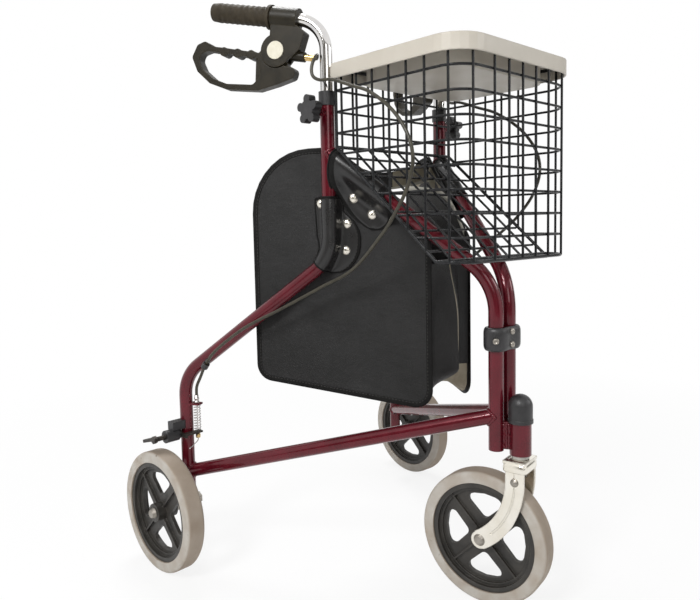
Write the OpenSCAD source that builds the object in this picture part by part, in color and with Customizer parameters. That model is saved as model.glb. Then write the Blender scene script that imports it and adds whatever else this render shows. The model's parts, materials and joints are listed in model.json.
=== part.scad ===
// Three wheel rollator: two splayed tube frames hinged at the front, a swivel caster, two rear wheels,
// sliding handles with loop brakes, a wire basket with a tray, and a bag between the frames.
// Millimetres, +Z up, front towards -Y, right side at -X.
// The origin is on the floor, under the middle of the part's box.

/* [Frame] */
// Outside diameter of the frame tubes
tube_d = 22; // [20:0.5:25]
// Angle of each side frame to the fore and aft line, in degrees
splay = 28; // [24:1:32]
// Distance between the two front tubes
hinge_spacing = 31; // [30:1:36]
// Front tube to handle column, along the side frame
column_reach = 252; // [235:1:270]
// Front tube to rear leg, along the side frame
leg_reach = 521; // [490:1:560]
// Height of the top of the handle columns
column_top = 766; // [745:1:790]
// Height where the leg and the diagonal would meet
leg_corner_z = 319; // [300:1:335]
// Height where the diagonal and the column would meet
column_corner_z = 518; // [500:1:530]
// Height where the brace meets the column
brace_top_z = 680; // [665:1:695]
// Height where the brace and the front tube would meet
brace_corner_z = 483; // [470:1:490]
// Height of the lower end of the front tubes
front_bottom_z = 238; // [225:1:245]
// Height of the bottom tube at the rear leg
bottom_rear_z = 152; // [135:1:170]
// Height of the bottom tube at the front tube
bottom_front_z = 289; // [275:1:300]
// Bend radius of the leg and column bends
frame_bend_r = 65; // [50:1:75]
// Bend radius between the brace and the front tube
brace_bend_r = 90; // [70:1:100]

/* [Wheels] */
// Diameter of all three wheels
wheel_d = 200; // [190:1:205]
// Width of the tyres
tyre_w = 31; // [26:1:34]
// Thickness of the tyres, tread to rim
tyre_h = 18; // [14:1:22]
// Diameter of the wheel axles
axle_d = 12; // [10:0.5:14]
// Rear leg to the middle of the rear wheel, along the axle
axle_reach = 51; // [48:1:60]
// Toe of the rear wheels, in degrees
wheel_toe = 3; // [0:0.5:5]

/* [Caster] */
// Front tubes to the caster stem, fore and aft
head_offset = 31; // [30:1:36]
// Caster stem to caster axle
caster_trail = 55; // [48:1:65]
// Swivel of the caster from straight ahead, in degrees
caster_swivel = 10; // [0:1:20]
// Outside diameter of the head tube
head_d = 31; // [29:0.5:34]
// Diameter of the caster stem
stem_d = 12; // [10:0.5:14]
// Height of the lower end of the head tube
head_bottom_z = 235; // [232:1:240]
// Height of the upper end of the head tube
head_top_z = 306; // [296:1:315]

/* [Handles] */
// Outside diameter of the handle tubes
handle_tube_d = 19; // [17:0.5:20]
// Height where the handle post and the grip line would meet
handle_corner_z = 874; // [855:1:900]
// Rise of the grips towards the rear, in degrees
handle_rise = 11; // [6:1:14]
// Bend radius of the handle tubes
handle_bend_r = 50; // [48:1:54]
// Length of handle post below the bend line
post_length = 284; // [270:1:300]
// Diameter of the grips
grip_d = 30; // [28:0.5:33]
// Length of the grips
grip_length = 104; // [95:1:115]

/* [Basket] */
// Distance between the basket's side walls
basket_w = 268; // [250:2:290]
// Basket's rear wall to the handle columns, fore and aft
basket_rear_gap = 20.5; // [17.5:0.5:32]
// Front tubes to the basket's front wall
basket_front = 33; // [28:1:45]
// Height of the basket floor
basket_floor_z = 518; // [512:1:526]
// Radius of the basket's front corners
basket_corner_r = 40; // [30:1:50]
// Diameter of the mesh wires
wire_d = 3.6; // [2.5:0.1:4]
// Diameter of the border wires
border_d = 5; // [4.5:0.1:5.5]

/* [Tray] */
// Width of the tray
tray_w = 285; // [283:1:310]
// Height of the tray's skirt
tray_skirt_h = 22; // [18:1:28]
// Height of the lower edge of the tray's skirt
tray_bottom_z = 786; // [780:1:800]
// Depth of the recess below the skirt
tray_drop = 11; // [6:1:18]

/* [Bag] */
// Front tubes to the bag's front edge, along the side frame
bag_front = 96; // [85:1:110]
// Front tubes to the bag's rear edge, along the side frame
bag_rear = 391; // [370:1:405]
// Height of the bag's bottom at the front
bag_front_z = 284; // [270:1:300]
// Height of the bag's bottom at the rear
bag_rear_z = 318; // [300:1:330]
// Radius of the panels' upper rear corner
bag_top_r = 100; // [70:1:105]
// Thickness of the panels
bag_t = 3; // [2:0.5:4]

/* [Hidden] */
$fn = 64;

// Fits and cuts
overrun = 2;
running_gap = 0.05;
slide_gap = 0.08;
weld_gap = 0.05;
seat_gap = 0.3;
bend_lap = 2;
bend_step = 0.05;

// Colours
paint = "#6b1220";
chrome = "#d9d9dc";
plastic = "#2b2a28";
rubber_grey = "#a39c94";
brass = "#c79a3a";
wire_black = "#1c1c1f";
tray_colour = "#c9c2b6";
vinyl = "#1d1e20";
steel = "#8b8b8e";

// Frame
tube_r = tube_d / 2;
tube_bore = handle_tube_d + 2 * slide_gap;
hinge_x = hinge_spacing / 2;
leg_bottom_z = 82;
front_point = [0, bottom_front_z];
rear_point = [leg_reach, bottom_rear_z];
main_points = [[leg_reach, leg_bottom_z], [leg_reach, leg_corner_z],
    [column_reach, column_corner_z], [column_reach, column_top]];
brace_points = [[column_reach, brace_top_z], [0, brace_corner_z], [0, front_bottom_z]];
brace_rise = (brace_top_z - brace_corner_z) / column_reach;
brace_angle = atan(brace_rise);

// Wheels
wheel_r = wheel_d / 2;
rim_r = wheel_r - tyre_h;
tyre_round = 5;
rim_w = 26;
rim_t = 7;
step_t = 5;
step_w = 14;
web_t = 6;
boss_r = 15;
boss_w = 36;
spoke_rib_t = 2.4;
spoke_rib_h = 5;
window_inner_r = 24;
window_outer_r = 64;
window_half_angle = 31;
window_round = 8;
window_arc_round = 1;
window_arc_shares = [-1, -0.5, 0, 0.5, 1];
spokes = 4;
spoke_turn = 45;
axle_cap_r = 9;
axle_cap_h = 6;
axle_cap_share = 0.7;
axle_nut_d = 20;
axle_nut_h = 8;
axle_spacer_d = 18;

// Caster
caster_gap = 4;
fork_t = 3;
fork_w = 28;
fork_end_r = 13;
crown_drop = 6;
crown_z = head_bottom_z - crown_drop;
crown_t = 4;
crown_front = 16;
crown_rear = 18;
fork_straight = 30;
emboss_w = 3;
emboss_depth = 1;
bush_flange_t = 5;
bush_length = 20;
head_bore = 25;
stem_nut_d = 22;
stem_nut_h = 8;
cap_wall = 1.6;
cap_drop = 24;
cap_dome_h = 11;
cap_lip_h = 5;
cap_lip = 0.8;
plate_t = 7;
plate_clear = 1;
plate_top_z = head_top_z - cap_drop - plate_clear;
plate_bottom_z = 241;

// The part's box sets where the hinge lies fore and aft
rear_off = leg_reach * cos(splay) - axle_reach * sin(wheel_toe)
    + wheel_r * cos(wheel_toe) + tyre_w / 2 * sin(wheel_toe);
front_off = caster_trail * cos(caster_swivel) - head_offset
    - wheel_r * cos(caster_swivel) - tyre_w / 2 * sin(caster_swivel);
hinge_y = -(rear_off + front_off) / 2;
leg_x = -(hinge_x + leg_reach * sin(splay));
leg_y = hinge_y + leg_reach * cos(splay);
column_x = -(hinge_x + column_reach * sin(splay));
column_y = hinge_y + column_reach * cos(splay);

// Hinge clamp
clamp_z = 387;
clamp_h = 44;
clamp_wall = 6;
clamp_r = tube_r + clamp_wall;
clamp_chamfer = 5;

// Column bush and height knob
bush_wall = 1.5;
bush_cover = 16;
bush_lip_h = 5;
knob_z = 741;
stud_d = 8;
boss_d = 15;
boss_reach = 17;
knob_start = 20;
knob_hub_d = 17;
knob_hub_h = 8;
knob_h = 13;
knob_core_r = 14;
knob_lobe_r = 6.5;
knob_lobe_at = 15.5;
knob_lobes = 5;

// Grip
grip_start = 88;
grip_flange_d = 37;
grip_flange_h = 5;
grip_end_t = 4;
grip_round = 5;
grip_groove = 0.8;
grip_grooves = 9;

// Brake housing and lever, in handle axes: along the grip line and up from it
clamp_from = 43;
clamp_to = 87;
clamp_d = 33;
housing_t = 22;
slot_t = 13;
tongue_t = 12.4;
lever_t = 18;
pivot = [70, -50];
cheek_r = 25;
slot_r = 26.5;
lever_clear_r = 25.8;
pin_d = 6;
pin_cap_r = 13.5;
pin_cap_t = 2;
pin_head_r = 6;
barrel_v = -54;
barrel_end = 8;
barrel_from = 24;
barrel_to = 36;
barrel_d = 10;
barrel_neck_d = 7;
barrel_boss_d = 15;
barrel_boss_to = 48;
// Outlines of the housing and the lever, as shares of one length
outline_length = 100;
neck_shares = [[0.27, -0.18], [0.44, -0.09], [0.85, -0.09], [0.83, -0.32], [0.93, -0.5], [0.7, -0.7],
    [0.42, -0.58], [0.31, -0.45]];
neck_round = 4;
loop_outer_shares = [[0.97, -0.56], [1.35, -0.55], [1.6, -0.54], [1.77, -0.54], [1.96, -0.47],
    [2.09, -0.54], [2.16, -0.74], [2.03, -0.95], [1.78, -1.11], [1.48, -1.17], [0.92, -1.13],
    [0.62, -1.01], [0.35, -0.88], [0.33, -0.72], [0.5, -0.72]];
loop_outer_round = 7;
loop_inner_shares = [[0.97, -0.64], [1.6, -0.62], [1.88, -0.61], [2.01, -0.67], [2.03, -0.77], [1.93, -0.91],
    [1.73, -1.03], [1.47, -1.085], [1.02, -1.05], [0.91, -0.92]];
loop_inner_round = 8;
tongue_shares = [[0.7, -0.3], [0.92, -0.46], [1.04, -0.6], [0.98, -1.08], [0.7, -0.98], [0.42, -0.82],
    [0.52, -0.62]];
tongue_round = 6;
finger_r = 7;
finger_sink = 4;
finger_first = 112;
finger_step = 24;
finger_count = 3;
finger_v = -64;

// Rear brake, in leg axes: outward along the axle is -X, the rear is +Y
brake_z = 222;
brake_shaft_d = 8;
brake_boss_d = 21;
brake_boss_from = 19.5;
brake_boss_to = 43;
brake_foot_w = 16;
brake_foot_z = 231;
brake_foot_h = 14;
brake_foot_to = 32;
arm_t = 4;
arm_from = 14.5;
arm_end_r = 8;
arm_shelf_t = 3;
arm_shelf_w = 12;
paddle_from = 43.5;
paddle_to = 59.5;
paddle_t = 5;
paddle_length = 52;
paddle_drop = 16;
bolt_d = 13;
bolt_h = 6;
tab_t = 3;
tab_w = 14;
tab_z = 270;
tab_hole_d = 4;
cable_gap_s = 21;

// Brake spring
spring_wire_d = 1.6;
spring_mean_r = 5.4;
spring_curls = 9;
spring_rings = 8;
spring_sides = 6;

// Brake cable, in four stretches from the barrel adjuster to the stop on the leg
cable_d = 5;
cable_sides = 10;
cable_steps = 2;
// Length that the route's shares are taken of
cable_table_length = 100;
// Past the handle post: behind it, outward of it, up from the handle's corner
cable_top_shares = [[0.13, 0.03, -0.51], [0.11, 0.085, -0.49], [0.12, 0.14, -0.53],
    [0.15, 0.18, -0.63], [0.16, 0.2, -0.74], [0.12, 0.22, -0.84], [0, 0.25, -0.9], [-0.2, 0.31, -0.92]];
cable_straight = 1.4;
// Down the basket's side: out from the wall, back from the front tubes, up from the basket floor
cable_side_shares = [[0.17, 1.5, 2.49], [0.18, 1.12, 2.34], [0.2, 0.68, 2.03], [0.21, 0.4, 1.67],
    [0.21, 0.32, 1.32], [0.21, 0.44, 0.96], [0.19, 0.69, 0.63], [0.14, 0.98, 0.36]];
// Along the diagonal: share of its length up from the leg, then how far below it and how far outward
cable_diagonal_shares = [[1.18, 0.5, 0.34], [0.97, 0.37, 0.22], [0.71, 0.21, 0.2], [0.47, 0.05, 0.2],
    [0.27, 0.04, 0.19]];
// At the leg: behind the cable stop, outward, up from the leg's corner
cable_end_shares = [[-0.29, 0.16, 0.23], [-0.15, 0.1, 0.01], [-0.03, 0.03, -0.17], [0, 0, -0.33]];

// Cable clip under the diagonal
clip_d = 12;
clip_bore_d = 7;
clip_h = 9;
clip_foot_d = 9;

// Straps on the braces, which carry the basket
strap_t = 2;
strap_gap = 0.4;

// Basket
basket_x = basket_w / 2;
basket_rear = column_reach * cos(splay) - basket_rear_gap;
border_r = border_d / 2;
wire_r = wire_d / 2;
weld_sink = 0.8;
hoop_pitch = 31.5;
side_pitch = 32;
side_first = 14;
front_pitch = 33.5;
corner_wires = 2;
slope_tan = brace_rise / cos(splay);
slope_angle = atan(slope_tan);
cross_lift = tube_r + strap_gap + strap_t + seat_gap + wire_r;
slope_lift = cross_lift + wire_d - weld_sink;
slope_rear_z = brace_corner_z + slope_tan * basket_rear + slope_lift / cos(slope_angle);
slope_foot = (basket_floor_z - brace_corner_z - slope_lift / cos(slope_angle)) / slope_tan;
corner_x = basket_x - basket_corner_r;
corner_y = basket_corner_r - basket_front;
slope_crosses = 6;
wall_out = max(border_r, wire_d - weld_sink / 2);

// Tray
tray_wall = 2.5;
tray_deck_t = 3;
tray_rear_r = 7;
tray_corner_r = basket_corner_r + 2 * tray_wall;
tray_front = basket_front + wall_out + seat_gap + tray_wall;
tray_rear = basket_rear + wall_out + seat_gap + tray_wall;
tray_top_z = tray_bottom_z + tray_skirt_h;
pan_gap = 26.5;
pan_inset = (tray_w - basket_w) / 2 + pan_gap;
pan_round = 24;
rim_z = tray_top_z - tray_deck_t - seat_gap - border_r;
corner_steps = 6;

// Bag
bag_offset = tube_r + strap_gap + strap_t + seat_gap;
bag_top_z = 690;
bag_low_round = 28;
bag_front_top = 12;
upper_strap_gap = 26;
upper_strap_w = 58;
upper_strap_to = column_reach - upper_strap_gap;
upper_strap_from = upper_strap_to - upper_strap_w;
lower_strap_from = 556;
lower_strap_to = 608;
strap_flap_w = 62;
strap_flap_h = 52;
strap_round = 20;
gusset_t = 2;

// Shared functions
function unit(v) = v / norm(v);
function turn(a, b, c) = acos(unit(b - a) * unit(c - b));
function tangent(a, b, c, r) = r * tan(turn(a, b, c) / 2);
function short_way(a) = (a + 540) % 360 - 180;

// Arc that rounds the corner b of an outline a, b, c
function fillet(a, b, c, r) = let (
    u = unit(a - b), v = unit(c - b), half = acos(u * v) / 2,
    start = b + u * r / tan(half), finish = b + v * r / tan(half),
    centre = b + unit(u + v) * r / sin(half),
    from = atan2(start.y - centre.y, start.x - centre.x),
    to = atan2(finish.y - centre.y, finish.x - centre.x),
    sweep = short_way(to - from)
) [for (i = [0 : corner_steps]) let (a = from + sweep * i / corner_steps) centre + r * [cos(a), sin(a)]];

// Closed outline with each corner rounded, by one radius or by a list of radii
function rounded(p, r) = let (n = len(p)) [
    for (i = [0 : n - 1]) each fillet(p[(i + n - 1) % n], p[i], p[(i + 1) % n], is_list(r) ? r[i] : r)
];

// Places one side frame's axes: X back along the frame, Y outward, Z up
module in_frame() translate([-hinge_x, hinge_y, 0]) rotate([0, 0, 90 + splay]) children();

// Places a handle's axes: X along the grip line, Y outward, Z up from it
module in_handle() in_frame() translate([column_reach, 0, handle_corner_z]) rotate([0, -handle_rise, 0])
    children();

// Places a rear leg's axes: outward along the axle is -X
module at_leg() translate([leg_x, leg_y, 0]) rotate([0, 0, wheel_toe]) children();

// Places the caster's axes: Y trails behind the stem
module at_caster() translate([0, hinge_y - head_offset, 0]) rotate([0, 0, caster_swivel]) children();

module left_hand() mirror([1, 0, 0]) children();

// Round bar between two points of the XZ plane
module straight(a, b, d) translate([a.x, 0, a.y]) rotate([0, atan2(b.x - a.x, b.y - a.y), 0])
    cylinder(h = norm(b - a), d = d);

// Round bar between two points in space
module wire(a, b, d) {
    v = b - a;
    translate(a) rotate([0, acos(v.z / norm(v)), atan2(v.y, v.x)]) cylinder(h = norm(v), d = d, $fn = 24);
}

// Bend at b of a bar that runs a, b, c in the XZ plane.
// It is a hair thinner than the straight runs and laps into them, so that they join as one solid.
module bend(a, b, c, r, d) {
    u = unit(b - a);
    v = unit(c - b);
    left = u.x * v.y - u.y * v.x > 0;
    start = b - u * tangent(a, b, c, r);
    finish = b + v * tangent(a, b, c, r);
    centre = start + (left ? r : -r) * [-u.y, u.x];
    first = left ? start : finish;
    lap = asin(bend_lap / r);
    translate([centre.x, 0, centre.y]) rotate([90, 0, 0])
        rotate([0, 0, atan2(first.y - centre.y, first.x - centre.x) - lap])
            rotate_extrude(angle = turn(a, b, c) + 2 * lap) translate([r, 0]) circle(d = d - 2 * bend_step);
}

// Bar along a path of three or more points in the XZ plane
module bent_bar(p, r, d, extend = 0) {
    last = len(p) - 1;
    for (i = [0 : last - 1]) {
        u = unit(p[i + 1] - p[i]);
        from = i == 0 ? -extend : tangent(p[i - 1], p[i], p[i + 1], r);
        to = i == last - 1 ? -extend : tangent(p[i], p[i + 1], p[i + 2], r);
        straight(p[i] + u * from, p[i + 1] - u * to, d);
    }
    for (i = [1 : last - 1]) bend(p[i - 1], p[i], p[i + 1], r, d);
}

// Hollow tube along the same kind of path
module bent_tube(p, r, outer, inner) difference() {
    bent_bar(p, r, outer);
    bent_bar(p, r, inner, overrun);
}

// Flat piece with an XZ outline, thickness t centred on the XZ plane
module slab(p, t) rotate([90, 0, 0]) translate([0, 0, -t / 2]) linear_extrude(t) polygon(p);

// Tube swept along points in space, with closed ends
module swept(p, r, sides) {
    last = len(p) - 1;
    rings = [for (i = [0 : last]) let (
        t = unit(p[min(i + 1, last)] - p[max(i - 1, 0)]),
        side = unit(cross(t, abs(t.z) < 0.9 ? [0, 0, 1] : [1, 0, 0])),
        up = cross(side, t)
    ) [for (k = [0 : sides - 1]) p[i] + r * (side * cos(360 * k / sides) + up * sin(360 * k / sides))]];
    points = [for (ring = rings) each ring];
    walls = [for (i = [0 : last - 1], k = [0 : sides - 1]) let (
        a = i * sides + k, b = i * sides + (k + 1) % sides
    ) each [[a, a + sides, b], [b, a + sides, b + sides]]];
    caps = [[for (k = [0 : sides - 1]) k], [for (k = [0 : sides - 1]) last * sides + sides - 1 - k]];
    polyhedron(points, concat(walls, caps));
}

// Smooth curve through points
function curve_point(a, b, c, d, t) = 0.5 * (2 * b + (c - a) * t + (2 * a - 5 * b + 4 * c - d) * t * t
    + (3 * b - a - 3 * c + d) * t * t * t);
function smooth(p, steps) = let (last = len(p) - 1) concat(
    [for (i = [0 : last - 1], k = [0 : steps - 1])
        curve_point(p[max(i - 1, 0)], p[i], p[i + 1], p[min(i + 2, last)], k / steps)],
    [p[last]]
);

// Frame tubes
module right_main_tube() color(paint) difference() {
    union() {
        in_frame() {
            bent_bar(main_points, frame_bend_r, tube_d);
            translate([leg_reach - cable_gap_s - tab_w / 2, -tab_w / 2, tab_z])
                cube([cable_gap_s + tab_w / 2, tab_w, tab_t]);
        }
        translate([column_x, column_y, knob_z]) rotate([0, -90, 0]) cylinder(h = boss_reach, d = boss_d);
    }
    in_frame() {
        bent_bar(main_points, frame_bend_r, tube_bore, overrun);
        translate([leg_reach - cable_gap_s, 0, tab_z - overrun])
            cylinder(h = tab_t + 2 * overrun, d = tab_hole_d);
    }
    at_leg() translate([tube_d, 0, wheel_r]) rotate([0, -90, 0])
        cylinder(h = 2 * tube_d, d = axle_d + 2 * weld_gap);
    translate([column_x, column_y, knob_z]) rotate([0, -90, 0])
        cylinder(h = boss_reach + overrun, d = stud_d + 2 * running_gap);
}

module right_brace_tube() color(paint) in_frame() difference() {
    bent_bar(brace_points, brace_bend_r, tube_d);
    bent_bar(brace_points, brace_bend_r, tube_bore, overrun);
    translate([column_reach, 0, 0]) cylinder(h = column_top, d = tube_d + 2 * weld_gap);
}

module right_bottom_tube() color(paint) in_frame() difference() {
    straight(front_point, rear_point, tube_d);
    straight(front_point - overrun * unit(rear_point - front_point),
        rear_point + overrun * unit(rear_point - front_point), tube_bore);
    cylinder(h = column_top, d = tube_d + 2 * weld_gap);
    translate([leg_reach, 0, 0]) cylinder(h = column_top, d = tube_d + 2 * weld_gap);
}

// Collar on the column's end that guides the handle tube
module right_column_bush() color(plastic) in_frame() translate([column_reach, 0, column_top]) difference() {
    translate([0, 0, -bush_cover])
        cylinder(h = bush_cover + bush_lip_h, d = tube_d + 2 * (weld_gap + bush_wall));
    translate([0, 0, -bush_cover - overrun]) cylinder(h = bush_cover + overrun, d = tube_d + 2 * weld_gap);
    translate([0, 0, -overrun]) cylinder(h = bush_lip_h + 2 * overrun, d = tube_bore);
}

// Star knob with its stud through the column's boss
module right_height_knob() color(plastic) translate([column_x, column_y, knob_z]) rotate([0, -90, 0]) {
    translate([0, 0, handle_tube_d / 2 + seat_gap]) cylinder(h = knob_start, d = stud_d);
    translate([0, 0, knob_start]) cylinder(h = knob_hub_h, d = knob_hub_d);
    translate([0, 0, knob_start + knob_hub_h]) linear_extrude(knob_h) {
        circle(r = knob_core_r);
        for (i = [0 : knob_lobes - 1]) rotate(360 / knob_lobes * i) translate([knob_lobe_at, 0])
            circle(r = knob_lobe_r);
    }
}

// Handles
grip_end = grip_start + grip_length;
handle_points = [[column_reach, handle_corner_z - post_length], [column_reach, handle_corner_z],
    [column_reach, handle_corner_z] + (grip_end - grip_end_t - seat_gap)
        * [cos(handle_rise), sin(handle_rise)]];

module right_handle_tube() color(chrome) in_frame()
    bent_tube(handle_points, handle_bend_r, handle_tube_d, handle_tube_d - (tube_d - tube_bore));

// Rubber grip with a flange and shallow ribs
function grip_wave(i) = grip_d / 2 - (i % 2 == 0 ? 0 : grip_groove);
grip_ribs = 2 * grip_grooves;
grip_rib_step = (grip_length - grip_flange_h - grip_d / 2) / grip_ribs;
grip_profile = concat(
    [[0, grip_length - grip_end_t], [0, grip_length], [grip_d / 2 - grip_round, grip_length],
        [grip_d / 2 - grip_round * (1 - cos(45)), grip_length - grip_round * (1 - cos(45))]],
    [for (i = [0 : grip_ribs]) [grip_wave(i), grip_length - grip_d / 2 - i * grip_rib_step]],
    [[grip_flange_d / 2, grip_flange_h], [grip_flange_d / 2, 0], [handle_tube_d / 2 + weld_gap, 0],
        [handle_tube_d / 2 + weld_gap, grip_length - grip_end_t]]
);

module right_grip() color(plastic) in_handle() translate([grip_start, 0, 0]) rotate([0, 90, 0])
    rotate_extrude() polygon(grip_profile);

// Clamp on the handle tube with two cheeks that carry the lever
module right_brake_housing() color(plastic) in_handle() difference() {
    union() {
        translate([clamp_from, 0, 0]) rotate([0, 90, 0]) cylinder(h = clamp_to - clamp_from, d = clamp_d);
        slab(rounded(neck_shares * outline_length, neck_round), housing_t);
        translate([pivot.x, housing_t / 2, pivot.y]) rotate([90, 0, 0]) cylinder(h = housing_t, r = cheek_r);
        translate([barrel_from, 0, barrel_v]) rotate([0, 90, 0])
            cylinder(h = barrel_boss_to - barrel_from, d = barrel_boss_d);
    }
    translate([clamp_from - overrun, 0, 0]) rotate([0, 90, 0])
        cylinder(h = clamp_to - clamp_from + 2 * overrun, d = handle_tube_d + 2 * weld_gap);
    translate([pivot.x, slot_t / 2, pivot.y]) rotate([90, 0, 0]) cylinder(h = slot_t, r = slot_r);
    translate([pivot.x, housing_t, pivot.y]) rotate([90, 0, 0])
        cylinder(h = 2 * housing_t, d = pin_d + 2 * weld_gap);
    translate([barrel_from - overrun, 0, barrel_v]) rotate([0, 90, 0])
        cylinder(h = barrel_to - barrel_from + overrun, d = barrel_neck_d + 2 * weld_gap);
}

// Loop lever with finger waves, its tongue between the cheeks
module right_brake_lever() color(plastic) in_handle() difference() {
    union() {
        difference() {
            union() {
                difference() {
                    slab(rounded(loop_outer_shares * outline_length, loop_outer_round), lever_t);
                    slab(rounded(loop_inner_shares * outline_length, loop_inner_round),
                        lever_t + 2 * overrun);
                }
                for (i = [0 : finger_count - 1])
                    translate([finger_first + i * finger_step, lever_t / 2, finger_v + finger_sink])
                        rotate([90, 0, 0]) cylinder(h = lever_t, r = finger_r);
            }
            translate([pivot.x, housing_t, pivot.y]) rotate([90, 0, 0])
                cylinder(h = 2 * housing_t, r = lever_clear_r);
        }
        slab(rounded(tongue_shares * outline_length, tongue_round), tongue_t);
    }
    translate([pivot.x, housing_t, pivot.y]) rotate([90, 0, 0])
        cylinder(h = 2 * housing_t, d = pin_d + 2 * running_gap);
}

// Pivot pin with a plain round cap on the outside
module right_lever_pin() color(tray_colour) in_handle() translate([pivot.x, 0, pivot.y]) rotate([-90, 0, 0]) {
    translate([0, 0, -housing_t / 2]) cylinder(h = housing_t, d = pin_d);
    translate([0, 0, housing_t / 2]) cylinder(h = pin_cap_t, r = pin_cap_r);
    translate([0, 0, -housing_t / 2 - pin_cap_t]) cylinder(h = pin_cap_t, r = pin_head_r);
}

module right_barrel_adjuster() color(brass) in_handle() translate([0, 0, barrel_v]) rotate([0, 90, 0]) {
    translate([0, 0, barrel_end]) cylinder(h = barrel_from - barrel_end, d = barrel_d);
    translate([0, 0, barrel_from]) cylinder(h = barrel_to - barrel_from - weld_gap, d = barrel_neck_d);
}

// Brakes
function in_side_frame(p) = [
    p.y * cos(splay) - (p.x + hinge_x) * sin(splay), -(p.x + hinge_x) * cos(splay) - p.y * sin(splay), p.z
];
leg_corner = [leg_reach, 0, leg_corner_z];
diagonal = [column_reach, 0, column_corner_z] - leg_corner;
barrel_point = [column_reach + barrel_end * cos(handle_rise) - barrel_v * sin(handle_rise), 0,
    handle_corner_z + barrel_end * sin(handle_rise) + barrel_v * cos(handle_rise)];
barrel_way = [-cos(handle_rise), 0, -sin(handle_rise)];
cable_stop = [leg_reach - cable_gap_s, 0, tab_z + tab_t + seat_gap];
cable_route = concat(
    [for (i = [0 : 2]) barrel_point + (seat_gap + i * cable_straight) * barrel_way],
    [for (p = cable_top_shares * cable_table_length) [column_reach, 0, handle_corner_z] + p],
    [for (p = cable_side_shares * cable_table_length)
        in_side_frame([-basket_x - p.x, p.y, basket_floor_z + p.z])],
    [for (p = cable_diagonal_shares) leg_corner + p[0] * diagonal + cable_table_length * [0, p[2], -p[1]]],
    [for (p = cable_end_shares * cable_table_length) [cable_stop.x, 0, leg_corner_z] + p],
    [cable_stop]
);
clip_at = len(cable_route) - len(cable_end_shares) - 1;
clip_centre = cable_route[clip_at];
clip_way = unit(cable_route[clip_at + 1] - cable_route[clip_at - 1]);
clip_foot = leg_corner + diagonal * ((leg_reach - clip_centre.x) / (leg_reach - column_reach));

module right_brake_cable() color(plastic) in_frame()
    swept(smooth(cable_route, cable_steps), cable_d / 2, cable_sides);

// Clip that holds the cable under the diagonal
module right_cable_clip() color(plastic) in_frame() difference() {
    union() {
        wire(clip_centre - clip_way * clip_h / 2, clip_centre + clip_way * clip_h / 2, clip_d);
        wire(clip_centre, clip_foot, clip_foot_d);
    }
    wire(clip_centre - clip_way * clip_h, clip_centre + clip_way * clip_h, clip_bore_d);
    bent_bar(main_points, frame_bend_r, tube_d + 2 * weld_gap);
}

// Pivot block that stands off the rear leg over the tyre
module right_brake_block() color(plastic) difference() {
    at_leg() {
        translate([-brake_boss_from, 0, brake_z]) rotate([0, -90, 0])
            cylinder(h = brake_boss_to - brake_boss_from, d = brake_boss_d);
        translate([-brake_foot_to, -brake_foot_w / 2, brake_foot_z])
            cube([brake_foot_to, brake_foot_w, brake_foot_h]);
    }
    at_leg() translate([0, 0, brake_z - brake_boss_d])
        cylinder(h = 3 * brake_boss_d, d = tube_d + 2 * weld_gap);
    at_leg() translate([0, 0, brake_z]) rotate([0, -90, 0])
        cylinder(h = brake_boss_to + overrun, d = brake_shaft_d + 2 * running_gap);
}

// Where the cable meets the brake arm, in leg axes
cable_turn = splay - wheel_toe;
cable_at = cable_gap_s * [sin(cable_turn), -cos(cable_turn)];

// Rocking arm: shaft in the block, front lever under the spring, rear paddle over the tyre
module right_brake_arm() color(steel) at_leg() translate([0, 0, brake_z]) {
    translate([-arm_from, 0, 0]) rotate([0, -90, 0]) {
        cylinder(h = paddle_to - arm_from, d = brake_shaft_d);
        cylinder(h = arm_t, r = arm_end_r);
    }
    translate([-arm_from - arm_t, cable_at.y - arm_shelf_w / 2, -arm_shelf_t])
        cube([arm_t, -cable_at.y + arm_shelf_w / 2, 2 * arm_shelf_t]);
    translate([-arm_from - arm_t, cable_at.y - arm_shelf_w / 2, 0])
        cube([arm_from + arm_t + cable_at.x + arm_shelf_w / 2, arm_shelf_w, arm_shelf_t]);
    translate([-paddle_to, 0, 0]) rotate([-paddle_drop, 0, 0]) {
        translate([0, 0, -paddle_t / 2])
            cube([paddle_to - paddle_from, paddle_length - (paddle_to - paddle_from) / 2, paddle_t]);
        translate([(paddle_to - paddle_from) / 2,
            paddle_length - (paddle_to - paddle_from) / 2, -paddle_t / 2])
            cylinder(h = paddle_t, d = paddle_to - paddle_from);
    }
    translate([-paddle_to, 0, 0]) rotate([0, -90, 0]) cylinder(h = bolt_h, d = bolt_d, $fn = 6);
}

// Return spring between the tab and the arm's shelf
spring_from = brake_z + arm_shelf_t + seat_gap;
spring_to = tab_z - seat_gap;
spring_run = spring_to - spring_from - 2 * spring_wire_d;
spring_steps = spring_curls * spring_rings;
spring_points = concat(
    [[spring_mean_r, 0, 0]],
    [for (i = [0 : spring_steps]) [spring_mean_r * cos(360 * i / spring_rings),
        spring_mean_r * sin(360 * i / spring_rings), spring_wire_d + spring_run * i / spring_steps]],
    [[spring_mean_r, 0, spring_to - spring_from]]
);
spring_self_gap = min([for (i = [0 : spring_steps - spring_rings])
    norm(spring_points[i + 1 + spring_rings] - spring_points[i + 1])]) - spring_wire_d;
echo(spring_self_gap = spring_self_gap);

module right_brake_spring() color(chrome) at_leg() translate([cable_at.x, cable_at.y, spring_from])
    swept(spring_points, spring_wire_d / 2, spring_sides);

// Wheels, built on Z with the outside towards +Z
tyre_profile = rounded([[rim_r + weld_gap, -tyre_w / 2], [wheel_r, -tyre_w / 2], [wheel_r, tyre_w / 2],
    [rim_r + weld_gap, tyre_w / 2]], [tyre_round / 5, tyre_round, tyre_round, tyre_round / 5]);

module wheel_tyre() color(rubber_grey) rotate_extrude() polygon(tyre_profile);

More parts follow.
